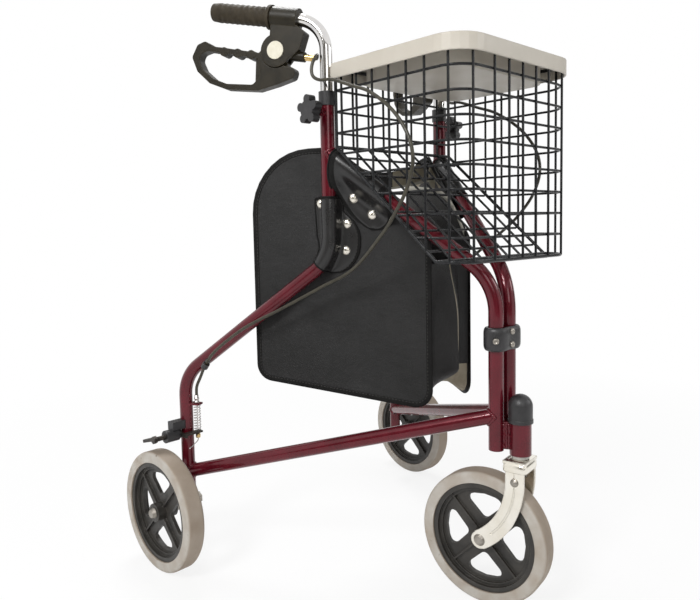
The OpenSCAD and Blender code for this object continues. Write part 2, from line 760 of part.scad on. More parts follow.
hub_profile = [[axle_d / 2 + running_gap, -boss_w / 2], [boss_r, -boss_w / 2], [boss_r, -web_t / 2],
    [rim_r - rim_t - step_t, -web_t / 2], [rim_r - rim_t - step_t, -step_w / 2], [rim_r - rim_t, -step_w / 2],
    [rim_r - rim_t, -rim_w / 2], [rim_r, -rim_w / 2], [rim_r, rim_w / 2], [rim_r - rim_t, rim_w / 2],
    [rim_r - rim_t, step_w / 2], [rim_r - rim_t - step_t, step_w / 2], [rim_r - rim_t - step_t, web_t / 2],
    [boss_r, web_t / 2], [boss_r, boss_w / 2], [axle_d / 2 + running_gap, boss_w / 2]];
window_points = concat([[window_inner_r, 0]],
    [for (a = window_arc_shares * window_half_angle) window_outer_r * [cos(a), sin(a)]]);
window_rounds = [window_round, window_round, window_arc_round, window_arc_round, window_arc_round,
    window_round];

// Spoked hub: ribbed cross with four rounded windows
module wheel_hub() color(plastic) difference() {
    union() {
        rotate_extrude() polygon(hub_profile);
        for (i = [0 : spokes - 1]) rotate(spoke_turn + 360 / spokes * i)
            translate([boss_r - overrun, -spoke_rib_t / 2, -web_t / 2 - spoke_rib_h])
                cube([rim_r - rim_t - boss_r + overrun, spoke_rib_t, web_t + 2 * spoke_rib_h]);
    }
    for (i = [0 : spokes - 1]) rotate(360 / spokes * i)
        translate([0, 0, -boss_w]) linear_extrude(2 * boss_w) polygon(rounded(window_points, window_rounds));
}

module on_rear_axle() at_leg() translate([-axle_reach, 0, wheel_r]) rotate([0, -90, 0]) children();

module right_tyre() on_rear_axle() wheel_tyre();
module right_hub() on_rear_axle() wheel_hub();

// Axle bolt: nut inside the leg, spacer, shaft and domed cap outside the hub
module right_axle() color(steel) at_leg() translate([0, 0, wheel_r]) rotate([0, -90, 0]) {
    translate([0, 0, -tube_r - axle_nut_h]) cylinder(h = axle_nut_h, d = axle_nut_d, $fn = 6);
    translate([0, 0, -tube_r - overrun])
        cylinder(h = axle_reach + boss_w / 2 + tube_r + 2 * overrun, d = axle_d);
    translate([0, 0, tube_r + seat_gap])
        cylinder(h = axle_reach - boss_w / 2 - tube_r - 2 * seat_gap, d = axle_spacer_d);
    translate([0, 0, axle_reach + boss_w / 2 + seat_gap])
        cylinder(h = axle_cap_h, r1 = axle_cap_r, r2 = axle_cap_r * axle_cap_share);
}

// Caster
stem_top_z = head_top_z + stem_nut_h;
fork_out = tyre_w / 2 + caster_gap + fork_t;
arm_top_z = crown_z - fork_straight;
arm_sweep = 2 * atan(caster_trail / (arm_top_z - wheel_r));
arm_r = (arm_top_z - wheel_r) / sin(arm_sweep);

// One curved fork arm as a flat plate of thickness t in the YZ plane, from x = 0 inwards
module fork_arm(t, w, end_r) rotate([90, 0, 90]) {
    translate([arm_r, arm_top_z]) rotate([0, 0, 180]) rotate_extrude(angle = arm_sweep)
        translate([arm_r - w / 2, 0]) square([w, t]);
    translate([-w / 2, arm_top_z, 0]) cube([w, fork_straight, t]);
    translate([caster_trail, wheel_r, 0]) cylinder(h = t, r = end_r);
}

module caster_fork() color(chrome) at_caster() difference() {
    union() {
        for (side = [-fork_out, fork_out - fork_t]) translate([side, 0, 0])
            fork_arm(fork_t, fork_w, fork_end_r);
        translate([-fork_out, -crown_front, crown_z - crown_t])
            cube([2 * fork_out, crown_front + crown_rear, crown_t]);
        translate([0, 0, crown_z - overrun]) cylinder(h = stem_top_z - crown_z + overrun, d = stem_d);
        translate([0, 0, head_top_z + seat_gap]) cylinder(h = stem_nut_h, d = stem_nut_d, $fn = 6);
    }
    for (side = [-fork_out - emboss_depth, fork_out - emboss_depth]) translate([side, 0, 0]) intersection() {
        fork_arm(2 * emboss_depth, emboss_w, emboss_w / 2);
        translate([-overrun, 0, wheel_r + fork_w / 2]) cube([3 * overrun, caster_trail, arm_top_z - wheel_r]);
    }
    translate([-fork_out - overrun, caster_trail, wheel_r]) rotate([0, 90, 0])
        cylinder(h = 2 * (fork_out + overrun), d = axle_d + 2 * weld_gap);
}

module on_caster_axle() at_caster() translate([0, caster_trail, wheel_r]) rotate([0, -90, 0]) children();
module caster_tyre() on_caster_axle() wheel_tyre();
module caster_hub() on_caster_axle() wheel_hub();

module caster_axle() color(steel) on_caster_axle() {
    translate([0, 0, -fork_out - overrun]) cylinder(h = 2 * (fork_out + overrun), d = axle_d);
    for (side = [0, 1]) mirror([0, 0, side]) {
        translate([0, 0, fork_out])
            cylinder(h = axle_cap_h / 2, r1 = axle_cap_r, r2 = axle_cap_r * axle_cap_share);
        translate([0, 0, boss_w / 2 + seat_gap])
            cylinder(h = fork_out - fork_t - boss_w / 2 - 2 * seat_gap, d = axle_spacer_d);
    }
}

// Head tube with the plate that welds it to the right front tube
module head_tube() color(paint) difference() {
    union() {
        translate([0, hinge_y - head_offset, head_bottom_z])
            cylinder(h = head_top_z - head_bottom_z, d = head_d);
        translate([-hinge_x, hinge_y, plate_bottom_z]) rotate([0, 0, atan2(-head_offset, hinge_x)])
            translate([0, -plate_t / 2, 0])
                cube([norm([hinge_x, head_offset]), plate_t, plate_top_z - plate_bottom_z]);
    }
    translate([0, hinge_y - head_offset, head_bottom_z - overrun]) cylinder(h = head_top_z, d = head_bore);
    translate([-hinge_x, hinge_y, 0]) cylinder(h = column_top, d = tube_d + 2 * weld_gap);
}

// Domed cap over the head tube
module head_cap() color(plastic) translate([0, hinge_y - head_offset, head_top_z]) difference() {
    union() {
        translate([0, 0, -cap_drop]) cylinder(h = cap_drop, d = head_d + 2 * (weld_gap + cap_wall));
        translate([0, 0, -cap_drop])
            cylinder(h = cap_lip_h, d = head_d + 2 * (weld_gap + cap_wall + cap_lip));
        intersection() {
            sphere(d = head_d + 2 * (weld_gap + cap_wall));
            cylinder(h = head_d, d = 2 * head_d);
        }
    }
    translate([0, 0, -cap_drop - overrun]) cylinder(h = cap_drop + overrun, d = head_d + 2 * weld_gap);
    cylinder(h = cap_dome_h, d = stem_nut_d + 2 * seat_gap);
}

// Flanged bushes at both ends of the head tube
module stem_bushes() color(steel) translate([0, hinge_y - head_offset, 0]) {
    difference() {
        union() {
            translate([0, 0, head_bottom_z]) cylinder(h = bush_length, d = head_bore - 2 * weld_gap);
            translate([0, 0, head_bottom_z - bush_flange_t]) cylinder(h = bush_flange_t, d = head_bore);
        }
        translate([0, 0, head_bottom_z - bush_flange_t - overrun])
            cylinder(h = bush_length + bush_flange_t + 2 * overrun, d = stem_d + 2 * running_gap);
    }
    translate([0, 0, head_top_z - bush_length]) difference() {
        cylinder(h = bush_length, d = head_bore - 2 * weld_gap);
        translate([0, 0, -overrun]) cylinder(h = bush_length + 2 * overrun, d = stem_d + 2 * running_gap);
    }
}

// Hinge clamp: fixed on the left front tube, turns on the right one
module hinge_clamp() color(plastic) translate([0, hinge_y, clamp_z]) difference() {
    union() {
        for (side = [-1, 1]) translate([side * hinge_x, 0, 0]) {
            translate([0, 0, clamp_chamfer])
                cylinder(h = clamp_h - 2 * clamp_chamfer, r = clamp_r);
            cylinder(h = clamp_chamfer, r1 = clamp_r - clamp_chamfer / 2, r2 = clamp_r);
            translate([0, 0, clamp_h - clamp_chamfer])
                cylinder(h = clamp_chamfer, r1 = clamp_r, r2 = clamp_r - clamp_chamfer / 2);
        }
        translate([-hinge_x, -clamp_r, clamp_chamfer])
            cube([hinge_spacing, 2 * clamp_r, clamp_h - 2 * clamp_chamfer]);
    }
    translate([-hinge_x, 0, -overrun]) cylinder(h = clamp_h + 2 * overrun, d = tube_d + 2 * running_gap);
    translate([hinge_x, 0, -overrun]) cylinder(h = clamp_h + 2 * overrun, d = tube_d + 2 * weld_gap);
}

// Basket, in axes with Y back from the front tubes
module in_basket() color(wire_black) translate([0, hinge_y, 0]) children();
function slope_z(y) = brace_corner_z + slope_tan * y + slope_lift / cos(slope_angle);
function wall_foot_z(y) = max(basket_floor_z, slope_z(y));
function wall_rear_y(z) = min(basket_rear, (z - brace_corner_z - slope_lift / cos(slope_angle)) / slope_tan);
hoop_count = floor((rim_z - basket_floor_z - border_d) / hoop_pitch);
side_count = floor((basket_rear - side_first - corner_y) / side_pitch);
front_count = floor(corner_x / front_pitch);
base_count = floor((basket_x - border_d) / front_pitch);
mesh_offset = wire_r - weld_sink / 2;

// Flat side wall: border wires, uprights outside and hoops inside
module basket_right_side() in_basket() {
    rear_top = [-basket_x, basket_rear, rim_z];
    rear_foot = [-basket_x, basket_rear, slope_rear_z];
    slope_end = [-basket_x, slope_foot, basket_floor_z];
    wire([-basket_x, corner_y, rim_z], rear_top, border_d);
    wire(rear_foot, rear_top, border_d);
    wire(slope_end, rear_foot, border_d);
    wire([-basket_x, corner_y, basket_floor_z], slope_end, border_d);
    for (p = [rear_top, rear_foot, slope_end]) translate(p) sphere(d = border_d, $fn = 24);
    for (i = [0 : side_count]) let (y = basket_rear - side_first - i * side_pitch)
        wire([-basket_x - mesh_offset, y, wall_foot_z(y)], [-basket_x - mesh_offset, y, rim_z], wire_d);
    for (i = [1 : hoop_count]) let (z = basket_floor_z + i * hoop_pitch)
        wire([-basket_x + mesh_offset, corner_y, z], [-basket_x + mesh_offset, wall_rear_y(z), z], wire_d);
}

module basket_left_side() left_hand() basket_right_side();

module basket_front() in_basket() {
    for (z = [basket_floor_z, rim_z])
        wire([-corner_x, -basket_front, z], [corner_x, -basket_front, z], border_d);
    for (i = [-front_count : front_count])
        wire([i * front_pitch, -basket_front - mesh_offset, basket_floor_z],
            [i * front_pitch, -basket_front - mesh_offset, rim_z], wire_d);
    for (i = [1 : hoop_count]) let (z = basket_floor_z + i * hoop_pitch)
        wire([-corner_x, -basket_front + mesh_offset, z], [corner_x, -basket_front + mesh_offset, z], wire_d);
}

// Quarter-round corner of the basket
module basket_right_corner() in_basket() translate([-corner_x, corner_y, 0]) {
    for (z = [basket_floor_z, rim_z]) translate([0, 0, z]) rotate([0, 0, 180])
        rotate_extrude(angle = 90) translate([basket_corner_r, 0]) circle(d = border_d, $fn = 24);
    for (i = [1 : hoop_count]) translate([0, 0, basket_floor_z + i * hoop_pitch]) rotate([0, 0, 180])
        rotate_extrude(angle = 90) translate([basket_corner_r - mesh_offset, 0]) circle(d = wire_d, $fn = 24);
    for (i = [1 : corner_wires])
        let (a = 180 + 90 * (i - 0.5) / corner_wires, r = basket_corner_r + mesh_offset)
        wire([r * cos(a), r * sin(a), basket_floor_z], [r * cos(a), r * sin(a), rim_z], wire_d);
}

module basket_left_corner() left_hand() basket_right_corner();

back_x = basket_x - border_r - weld_gap;
back_hoop_x = basket_x - wall_out - weld_gap;

// Upright part of the rear wall
module basket_back() in_basket() {
    for (z = [slope_rear_z, rim_z]) wire([-back_x, basket_rear, z], [back_x, basket_rear, z], border_d);
    for (i = [-base_count : base_count])
        wire([i * front_pitch, basket_rear - mesh_offset, slope_rear_z],
            [i * front_pitch, basket_rear - mesh_offset, rim_z], wire_d);
    for (i = [1 : hoop_count]) let (z = basket_floor_z + i * hoop_pitch)
        if (z > slope_rear_z + border_d && z < rim_z - border_d)
        wire([-back_hoop_x, basket_rear + mesh_offset, z], [back_hoop_x, basket_rear + mesh_offset, z],
            wire_d);
}

// Sloping part that lies on the two braces
slope_up = [0, cos(slope_angle), sin(slope_angle)];
slope_out = [0, -sin(slope_angle), cos(slope_angle)];
slope_start = [0, slope_foot, basket_floor_z] + slope_up * (border_r + weld_gap);
slope_length = (basket_rear - slope_foot) / cos(slope_angle) - 2 * (border_r + weld_gap);
module basket_slope() in_basket() {
    for (i = [-base_count : base_count]) let (x = [i * front_pitch, 0, 0])
        wire(slope_start + x, slope_start + x + slope_up * slope_length, wire_d);
    for (i = [0 : slope_crosses - 1]) let (
        p = slope_start + slope_up * slope_length * (i + 0.5) / slope_crosses
            - slope_out * (slope_lift - cross_lift)
    ) wire(p - [back_x, 0, 0], p + [back_x, 0, 0], wire_d);
}

// Flat strip of floor at the front
module basket_floor() in_basket() {
    wire([-back_x, slope_foot, basket_floor_z], [back_x, slope_foot, basket_floor_z], border_d);
    for (i = [-front_count : front_count])
        wire([i * front_pitch, border_r + weld_gap - basket_front, basket_floor_z],
            [i * front_pitch, slope_foot, basket_floor_z], wire_d);
    floor_cross_z = basket_floor_z - wire_d + weld_sink;
    wire([-corner_x, -basket_front / 2, floor_cross_z], [corner_x, -basket_front / 2, floor_cross_z], wire_d);
}

// Tray outline, drawn in from the edge by an inset
function tray_outline(inset, front_r, rear_r) = rounded(
    [[-tray_w / 2 + inset, -tray_front + inset], [tray_w / 2 - inset, -tray_front + inset],
        [tray_w / 2 - inset, tray_rear - inset], [-tray_w / 2 + inset, tray_rear - inset]],
    [front_r, front_r, rear_r, rear_r]
);
pan_z = tray_bottom_z - tray_drop;

module tray_layer(inset, front_r, rear_r, from, to) translate([0, hinge_y, from])
    linear_extrude(to - from) polygon(tray_outline(inset, front_r, rear_r));

// Tray with a skirt round the basket rim and a recess that drops into the basket
module tray() color(tray_colour) difference() {
    union() {
        difference() {
            tray_layer(0, tray_corner_r, tray_rear_r, tray_bottom_z, tray_top_z);
            tray_layer(tray_wall, tray_corner_r - tray_wall, tray_rear_r - tray_wall,
                tray_bottom_z - overrun, tray_top_z - tray_deck_t);
        }
        tray_layer(pan_inset - tray_wall, pan_round + tray_wall, pan_round + tray_wall, pan_z, tray_top_z);
    }
    tray_layer(pan_inset, pan_round, pan_round, pan_z + tray_deck_t, tray_top_z + overrun);
}

// Bag
function brace_z(s) = brace_corner_z + brace_rise * s;
bag_outline = [[bag_front, brace_z(bag_front) - bag_front_top], [column_reach + tube_r, bag_top_z],
    [bag_rear, bag_top_z],
    [bag_rear, bag_rear_z], [bag_front, bag_front_z]];
bag_rounds = [bag_front_top, bag_front_top, bag_top_r, bag_low_round, bag_low_round];
upper_flap = [[upper_strap_from - strap_flap_w / 4, brace_z(upper_strap_from) - strap_flap_h],
    [upper_strap_to - strap_flap_w / 2, brace_z(upper_strap_from) - strap_flap_h / 2],
    [upper_strap_to, brace_z(upper_strap_to)], [upper_strap_from, brace_z(upper_strap_from)]];
lower_flap = [[column_reach - strap_flap_w, lower_strap_from - strap_flap_h],
    [column_reach, lower_strap_from - strap_flap_h / 2],
    [column_reach, lower_strap_to], [column_reach - strap_flap_w / 2, lower_strap_to]];
sleeve_d = tube_d + 2 * (strap_gap + strap_t);

// Side panel with the two straps that hang it on the brace and the column
module right_bag_panel() color(vinyl) in_frame() {
    translate([0, -bag_offset - bag_t / 2, 0]) slab(rounded(bag_outline, bag_rounds), bag_t);
    difference() {
        union() {
            straight([upper_strap_from, brace_z(upper_strap_from)],
                [upper_strap_to, brace_z(upper_strap_to)], sleeve_d);
            translate([0, -sleeve_d / 2 + strap_t / 2, 0]) slab(rounded(upper_flap, strap_t), strap_t);
        }
        straight([0, brace_z(0)], [column_reach, brace_z(column_reach)], tube_d + 2 * strap_gap);
    }
    difference() {
        union() {
            translate([column_reach, 0, lower_strap_from])
                cylinder(h = lower_strap_to - lower_strap_from, d = sleeve_d);
            translate([0, -sleeve_d / 2 + strap_t / 2, 0]) slab(rounded(lower_flap, strap_t), strap_t);
        }
        bent_bar(main_points, frame_bend_r, tube_d + 2 * strap_gap);
    }
}

// Gusset corners on the right panel's inner face, at distance s and height z
gusset_in = bag_offset + bag_t + seat_gap;
function gusset_corner(s, z) = [-hinge_x - s * sin(splay) + gusset_in * cos(splay),
    hinge_y + s * cos(splay) + gusset_in * sin(splay), z];

// Strip across the bag between two corners of the right panel and their mirror images
module gusset_strip(a, b, lift) {
    flip = [-1, 1, 1];
    across = [a, b, [b.x * flip.x, b.y, b.z], [a.x * flip.x, a.y, a.z]];
    polyhedron(concat(across, [for (p = across) p + lift]),
        [[0, 1, 2], [0, 2, 3], [4, 6, 5], [4, 7, 6], [0, 4, 5], [0, 5, 1], [1, 5, 6], [1, 6, 2], [2, 6, 7],
            [2, 7, 3], [3, 7, 4], [3, 4, 0]]);
}

gusset_front_s = bag_front + gusset_t;
gusset_rear_s = bag_rear - 2 * gusset_t;
function bag_bottom_z(s) =
    bag_front_z + (bag_rear_z - bag_front_z) * (s - bag_front) / (bag_rear - bag_front) + gusset_t;

gusset_low_front = gusset_corner(gusset_front_s, bag_bottom_z(gusset_front_s));
gusset_low_rear = gusset_corner(gusset_rear_s, bag_bottom_z(gusset_rear_s));
gusset_wall = [0, 0, gusset_t + seat_gap];

// Bottom, front and rear of the bag between the panels
module bag_gusset() color(vinyl) {
    gusset_strip(gusset_low_front, gusset_low_rear, [0, 0, gusset_t]);
    gusset_strip(gusset_corner(gusset_front_s, brace_z(bag_front) - strap_flap_h),
        gusset_low_front + gusset_wall,
        [0, gusset_t, 0]);
    gusset_strip(gusset_corner(gusset_rear_s, bag_top_z - bag_top_r), gusset_low_rear + gusset_wall,
        [0, gusset_t, 0]);
}

module left_main_tube() left_hand() right_main_tube();
module left_brace_tube() left_hand() right_brace_tube();
module left_bottom_tube() left_hand() right_bottom_tube();
module left_column_bush() left_hand() right_column_bush();
module left_height_knob() left_hand() right_height_knob();
module left_handle_tube() left_hand() right_handle_tube();
module left_grip() left_hand() right_grip();
module left_brake_housing() left_hand() right_brake_housing();
module left_brake_lever() left_hand() right_brake_lever();
module left_lever_pin() left_hand() right_lever_pin();
module left_barrel_adjuster() left_hand() right_barrel_adjuster();
module left_brake_cable() left_hand() right_brake_cable();
module left_cable_clip() left_hand() right_cable_clip();
module left_brake_block() left_hand() right_brake_block();
module left_brake_arm() left_hand() right_brake_arm();
module left_brake_spring() left_hand() right_brake_spring();
module left_tyre() left_hand() right_tyre();
module left_hub() left_hand() right_hub();
module left_axle() left_hand() right_axle();
module left_bag_panel() left_hand() right_bag_panel();

right_main_tube();
right_brace_tube();
right_bottom_tube();
right_column_bush();
right_height_knob();
right_handle_tube();
right_grip();
right_brake_housing();
right_brake_lever();
right_lever_pin();
right_barrel_adjuster();
right_brake_cable();
right_cable_clip();
right_brake_block();
right_brake_arm();
right_brake_spring();
right_tyre();
right_hub();
right_axle();
right_bag_panel();
left_main_tube();
left_brace_tube();
left_bottom_tube();
left_column_bush();
left_height_knob();
left_handle_tube();
left_grip();
left_brake_housing();
left_brake_lever();
left_lever_pin();
left_barrel_adjuster();
left_brake_cable();
left_cable_clip();
left_brake_block();
left_brake_arm();
left_brake_spring();
left_tyre();
left_hub();
left_axle();
left_bag_panel();
head_tube();
head_cap();
stem_bushes();
caster_fork();
caster_tyre();
caster_hub();
caster_axle();
hinge_clamp();
basket_right_side();
basket_left_side();
basket_front();
basket_right_corner();
basket_left_corner();
basket_back();
basket_slope();
basket_floor();
tray();
bag_gusset();
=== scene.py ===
import json
import math

import bmesh
import bpy
import numpy as np
from mathutils import Matrix, Vector


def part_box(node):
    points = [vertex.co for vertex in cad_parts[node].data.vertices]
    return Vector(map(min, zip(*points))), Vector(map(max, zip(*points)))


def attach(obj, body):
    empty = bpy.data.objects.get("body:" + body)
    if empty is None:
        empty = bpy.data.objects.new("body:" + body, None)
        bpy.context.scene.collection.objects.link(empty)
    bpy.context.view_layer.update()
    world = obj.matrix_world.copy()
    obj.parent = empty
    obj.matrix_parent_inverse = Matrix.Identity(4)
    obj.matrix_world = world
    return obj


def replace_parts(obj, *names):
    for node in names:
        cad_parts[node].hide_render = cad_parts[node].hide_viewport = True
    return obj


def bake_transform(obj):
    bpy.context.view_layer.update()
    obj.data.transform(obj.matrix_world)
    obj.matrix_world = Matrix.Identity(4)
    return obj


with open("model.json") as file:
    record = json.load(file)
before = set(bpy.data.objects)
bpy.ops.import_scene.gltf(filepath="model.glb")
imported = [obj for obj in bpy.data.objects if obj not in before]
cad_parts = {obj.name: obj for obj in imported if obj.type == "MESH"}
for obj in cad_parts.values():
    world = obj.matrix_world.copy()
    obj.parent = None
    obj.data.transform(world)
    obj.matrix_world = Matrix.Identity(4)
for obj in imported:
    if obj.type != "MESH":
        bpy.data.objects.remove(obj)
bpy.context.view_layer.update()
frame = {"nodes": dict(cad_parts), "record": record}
nodes = frame["nodes"]
scene = bpy.context.scene
scene.view_settings.view_transform = "Standard"
rng = np.random.default_rng(7)

# Places on the side frames, in millimetres: s back along the frame, n outward, z up
MM = 0.001
SPLAY = math.radians(28)
HINGE_X, HINGE_Y = 15.5, -240.006
TUBE_R = 11.0
COLUMN, LEG = 252.0, 521.0
# Heights of the brace's axis at the front tube and at the column
BRACE_Z, BRACE_TOP_Z = 483, 680
BRACE_RISE = (BRACE_TOP_Z - BRACE_Z) / COLUMN
BRACE = math.atan(BRACE_RISE)
SIDES = ((1, "right"), (-1, "left"))
UP = Vector((0, 0, 1))


def at(s, n, z, side=1):
    """A point of the right (1) or left (-1) side frame, in metres."""
    x = -HINGE_X - s * math.sin(SPLAY) - n * math.cos(SPLAY)
    y = HINGE_Y + s * math.cos(SPLAY) - n * math.sin(SPLAY)
    return Vector((side * x, y, z)) * MM


def way(s, n, z, side=1):
    """A direction in side frame axes."""
    return (at(s, n, z, side) - at(0, 0, 0, side)).normalized()


def brace_z(s):
    """The height of the brace's axis."""
    return BRACE_Z + BRACE_RISE * s


# Finishes
MAP_RANGE = ("From Min", "From Max", "To Min", "To Max")
AXLE_WAY = (1.0, 0.0, 0.0)
# Where the noise fades from one tone to the other, and its scale beside that of the blotches: for the
# roughness, and for the painted light on the faces that look along the axles
ROUGH_SPREAD, ROUGH_SCALE = (0.3, 0.7), 2.3
LIT_FLANK_SPREAD, LIT_FLANK_SCALE = (0.3, 0.75), 1.7
FLANK_SPAN, MARK_FADE = (0.35, 0.85), 0.06
# How far a softened normal turns from the plain one at an edge, as a cosine, and the edge colour's share
EDGE_SPAN, EDGE_SHARE, BEVEL_SAMPLES = (0.72, 0.97), 0.8, 4


def finish(name, tones, rough, bumps=(), blotch=30.0, spread=(0.35, 0.65), marks=None, soft=0.0, edge=None,
           lit_flank=None, **sockets):
    """A principled finish: two tones in soft blotches, a range of roughness, bump layers (texture, scale,
    depth), scuff marks (scale, threshold, colour, stretch), softened edges with an edge colour, and a colour
    for the faces that look along the axles: painted light on a tyre's sidewalls, beside the painted shade of
    its darker tread."""
    m = bpy.data.materials.new(name)
    m.use_nodes = True
    tree = m.node_tree
    bsdf = tree.nodes["Principled BSDF"]
    for key, value in sockets.items():
        bsdf.inputs[key.replace("_", " ")].default_value = value
    coords = tree.nodes.new("ShaderNodeTexCoord")

    def texture(kind, scale, detail=3.0, stretch=None):
        node = tree.nodes.new("ShaderNodeTex" + kind)
        node.inputs["Scale"].default_value = scale
        if "Detail" in node.inputs:
            node.inputs["Detail"].default_value = detail
        source = coords.outputs["Object"]
        if stretch:
            mapping = tree.nodes.new("ShaderNodeMapping")
            mapping.inputs["Scale"].default_value = stretch
            tree.links.new(source, mapping.inputs["Vector"])
            source = mapping.outputs["Vector"]
        tree.links.new(source, node.inputs["Vector"])
        return node.outputs["Distance" if kind == "Voronoi" else "Fac"]

    def span(value, low, high, to_low, to_high):
        node = tree.nodes.new("ShaderNodeMapRange")
        for key, number in zip(MAP_RANGE, (low, high, to_low, to_high)):
            node.inputs[key].default_value = number
        tree.links.new(value, node.inputs["Value"])
        return node.outputs["Result"]

    def dot(a, b):
        node = tree.nodes.new("ShaderNodeVectorMath")
        node.operation = "DOT_PRODUCT"
        for socket, value in zip(node.inputs, (a, b)):
            if isinstance(value, tuple):
                socket.default_value = value
            else:
                tree.links.new(value, socket)
        return node.outputs["Value"]

    def mixed(factor, a, b):
        node = tree.nodes.new("ShaderNodeMix")
        node.data_type = "RGBA"
        tree.links.new(factor, node.inputs["Factor"])
        for socket, value in ((node.inputs[6], a), (node.inputs[7], b)):
            if isinstance(value, (tuple, list)):
                socket.default_value = (*value, 1)
            else:
                tree.links.new(value, socket)
        return node.outputs[2]

    colour = mixed(span(texture("Noise", blotch, detail=5), *spread, 0, 1), tones[0], tones[1])
    roughness = span(texture("Noise", blotch * ROUGH_SCALE, detail=4), *ROUGH_SPREAD, *rough)
    # Painted light: the faces that look along the axles take the paler sidewall colour
    if lit_flank:
        node = tree.nodes.new("ShaderNodeMath")
        node.operation = "ABSOLUTE"
        tree.links.new(dot(coords.outputs["Normal"], AXLE_WAY), node.inputs[0])
        noise = texture("Noise", blotch * LIT_FLANK_SCALE, detail=5)
        lit_flank_tone = mixed(span(noise, *LIT_FLANK_SPREAD, 0, 1), lit_flank, tones[1])
        colour = mixed(span(node.outputs["Value"], *FLANK_SPAN, 0, 1), colour, lit_flank_tone)
    if marks:
        scale, level, tint, stretch = marks
        worn = span(texture("Noise", scale, detail=6, stretch=stretch), level, level + MARK_FADE, 0, 1)
        colour = mixed(worn, colour, tint)
    normal = None
    if soft:
        bevel = tree.nodes.new("ShaderNodeBevel")
        bevel.samples = BEVEL_SAMPLES
        bevel.inputs["Radius"].default_value = soft
        normal = bevel.outputs["Normal"]
        if edge:
            plain = tree.nodes.new("ShaderNodeNewGeometry").outputs["Normal"]
            colour = mixed(span(dot(normal, plain), *EDGE_SPAN, EDGE_SHARE, 0), colour, edge)
    tree.links.new(colour, bsdf.inputs["Base Color"])
    tree.links.new(roughness, bsdf.inputs["Roughness"])
    for kind, scale, depth in bumps:
        bump = tree.nodes.new("ShaderNodeBump")
        bump.inputs["Distance"].default_value = depth
        tree.links.new(texture(kind, scale), bump.inputs["Height"])
        if normal:
            tree.links.new(normal, bump.inputs["Normal"])
        normal = bump.outputs["Normal"]
    if normal:
        tree.links.new(normal, bsdf.inputs["Normal"])
    return m


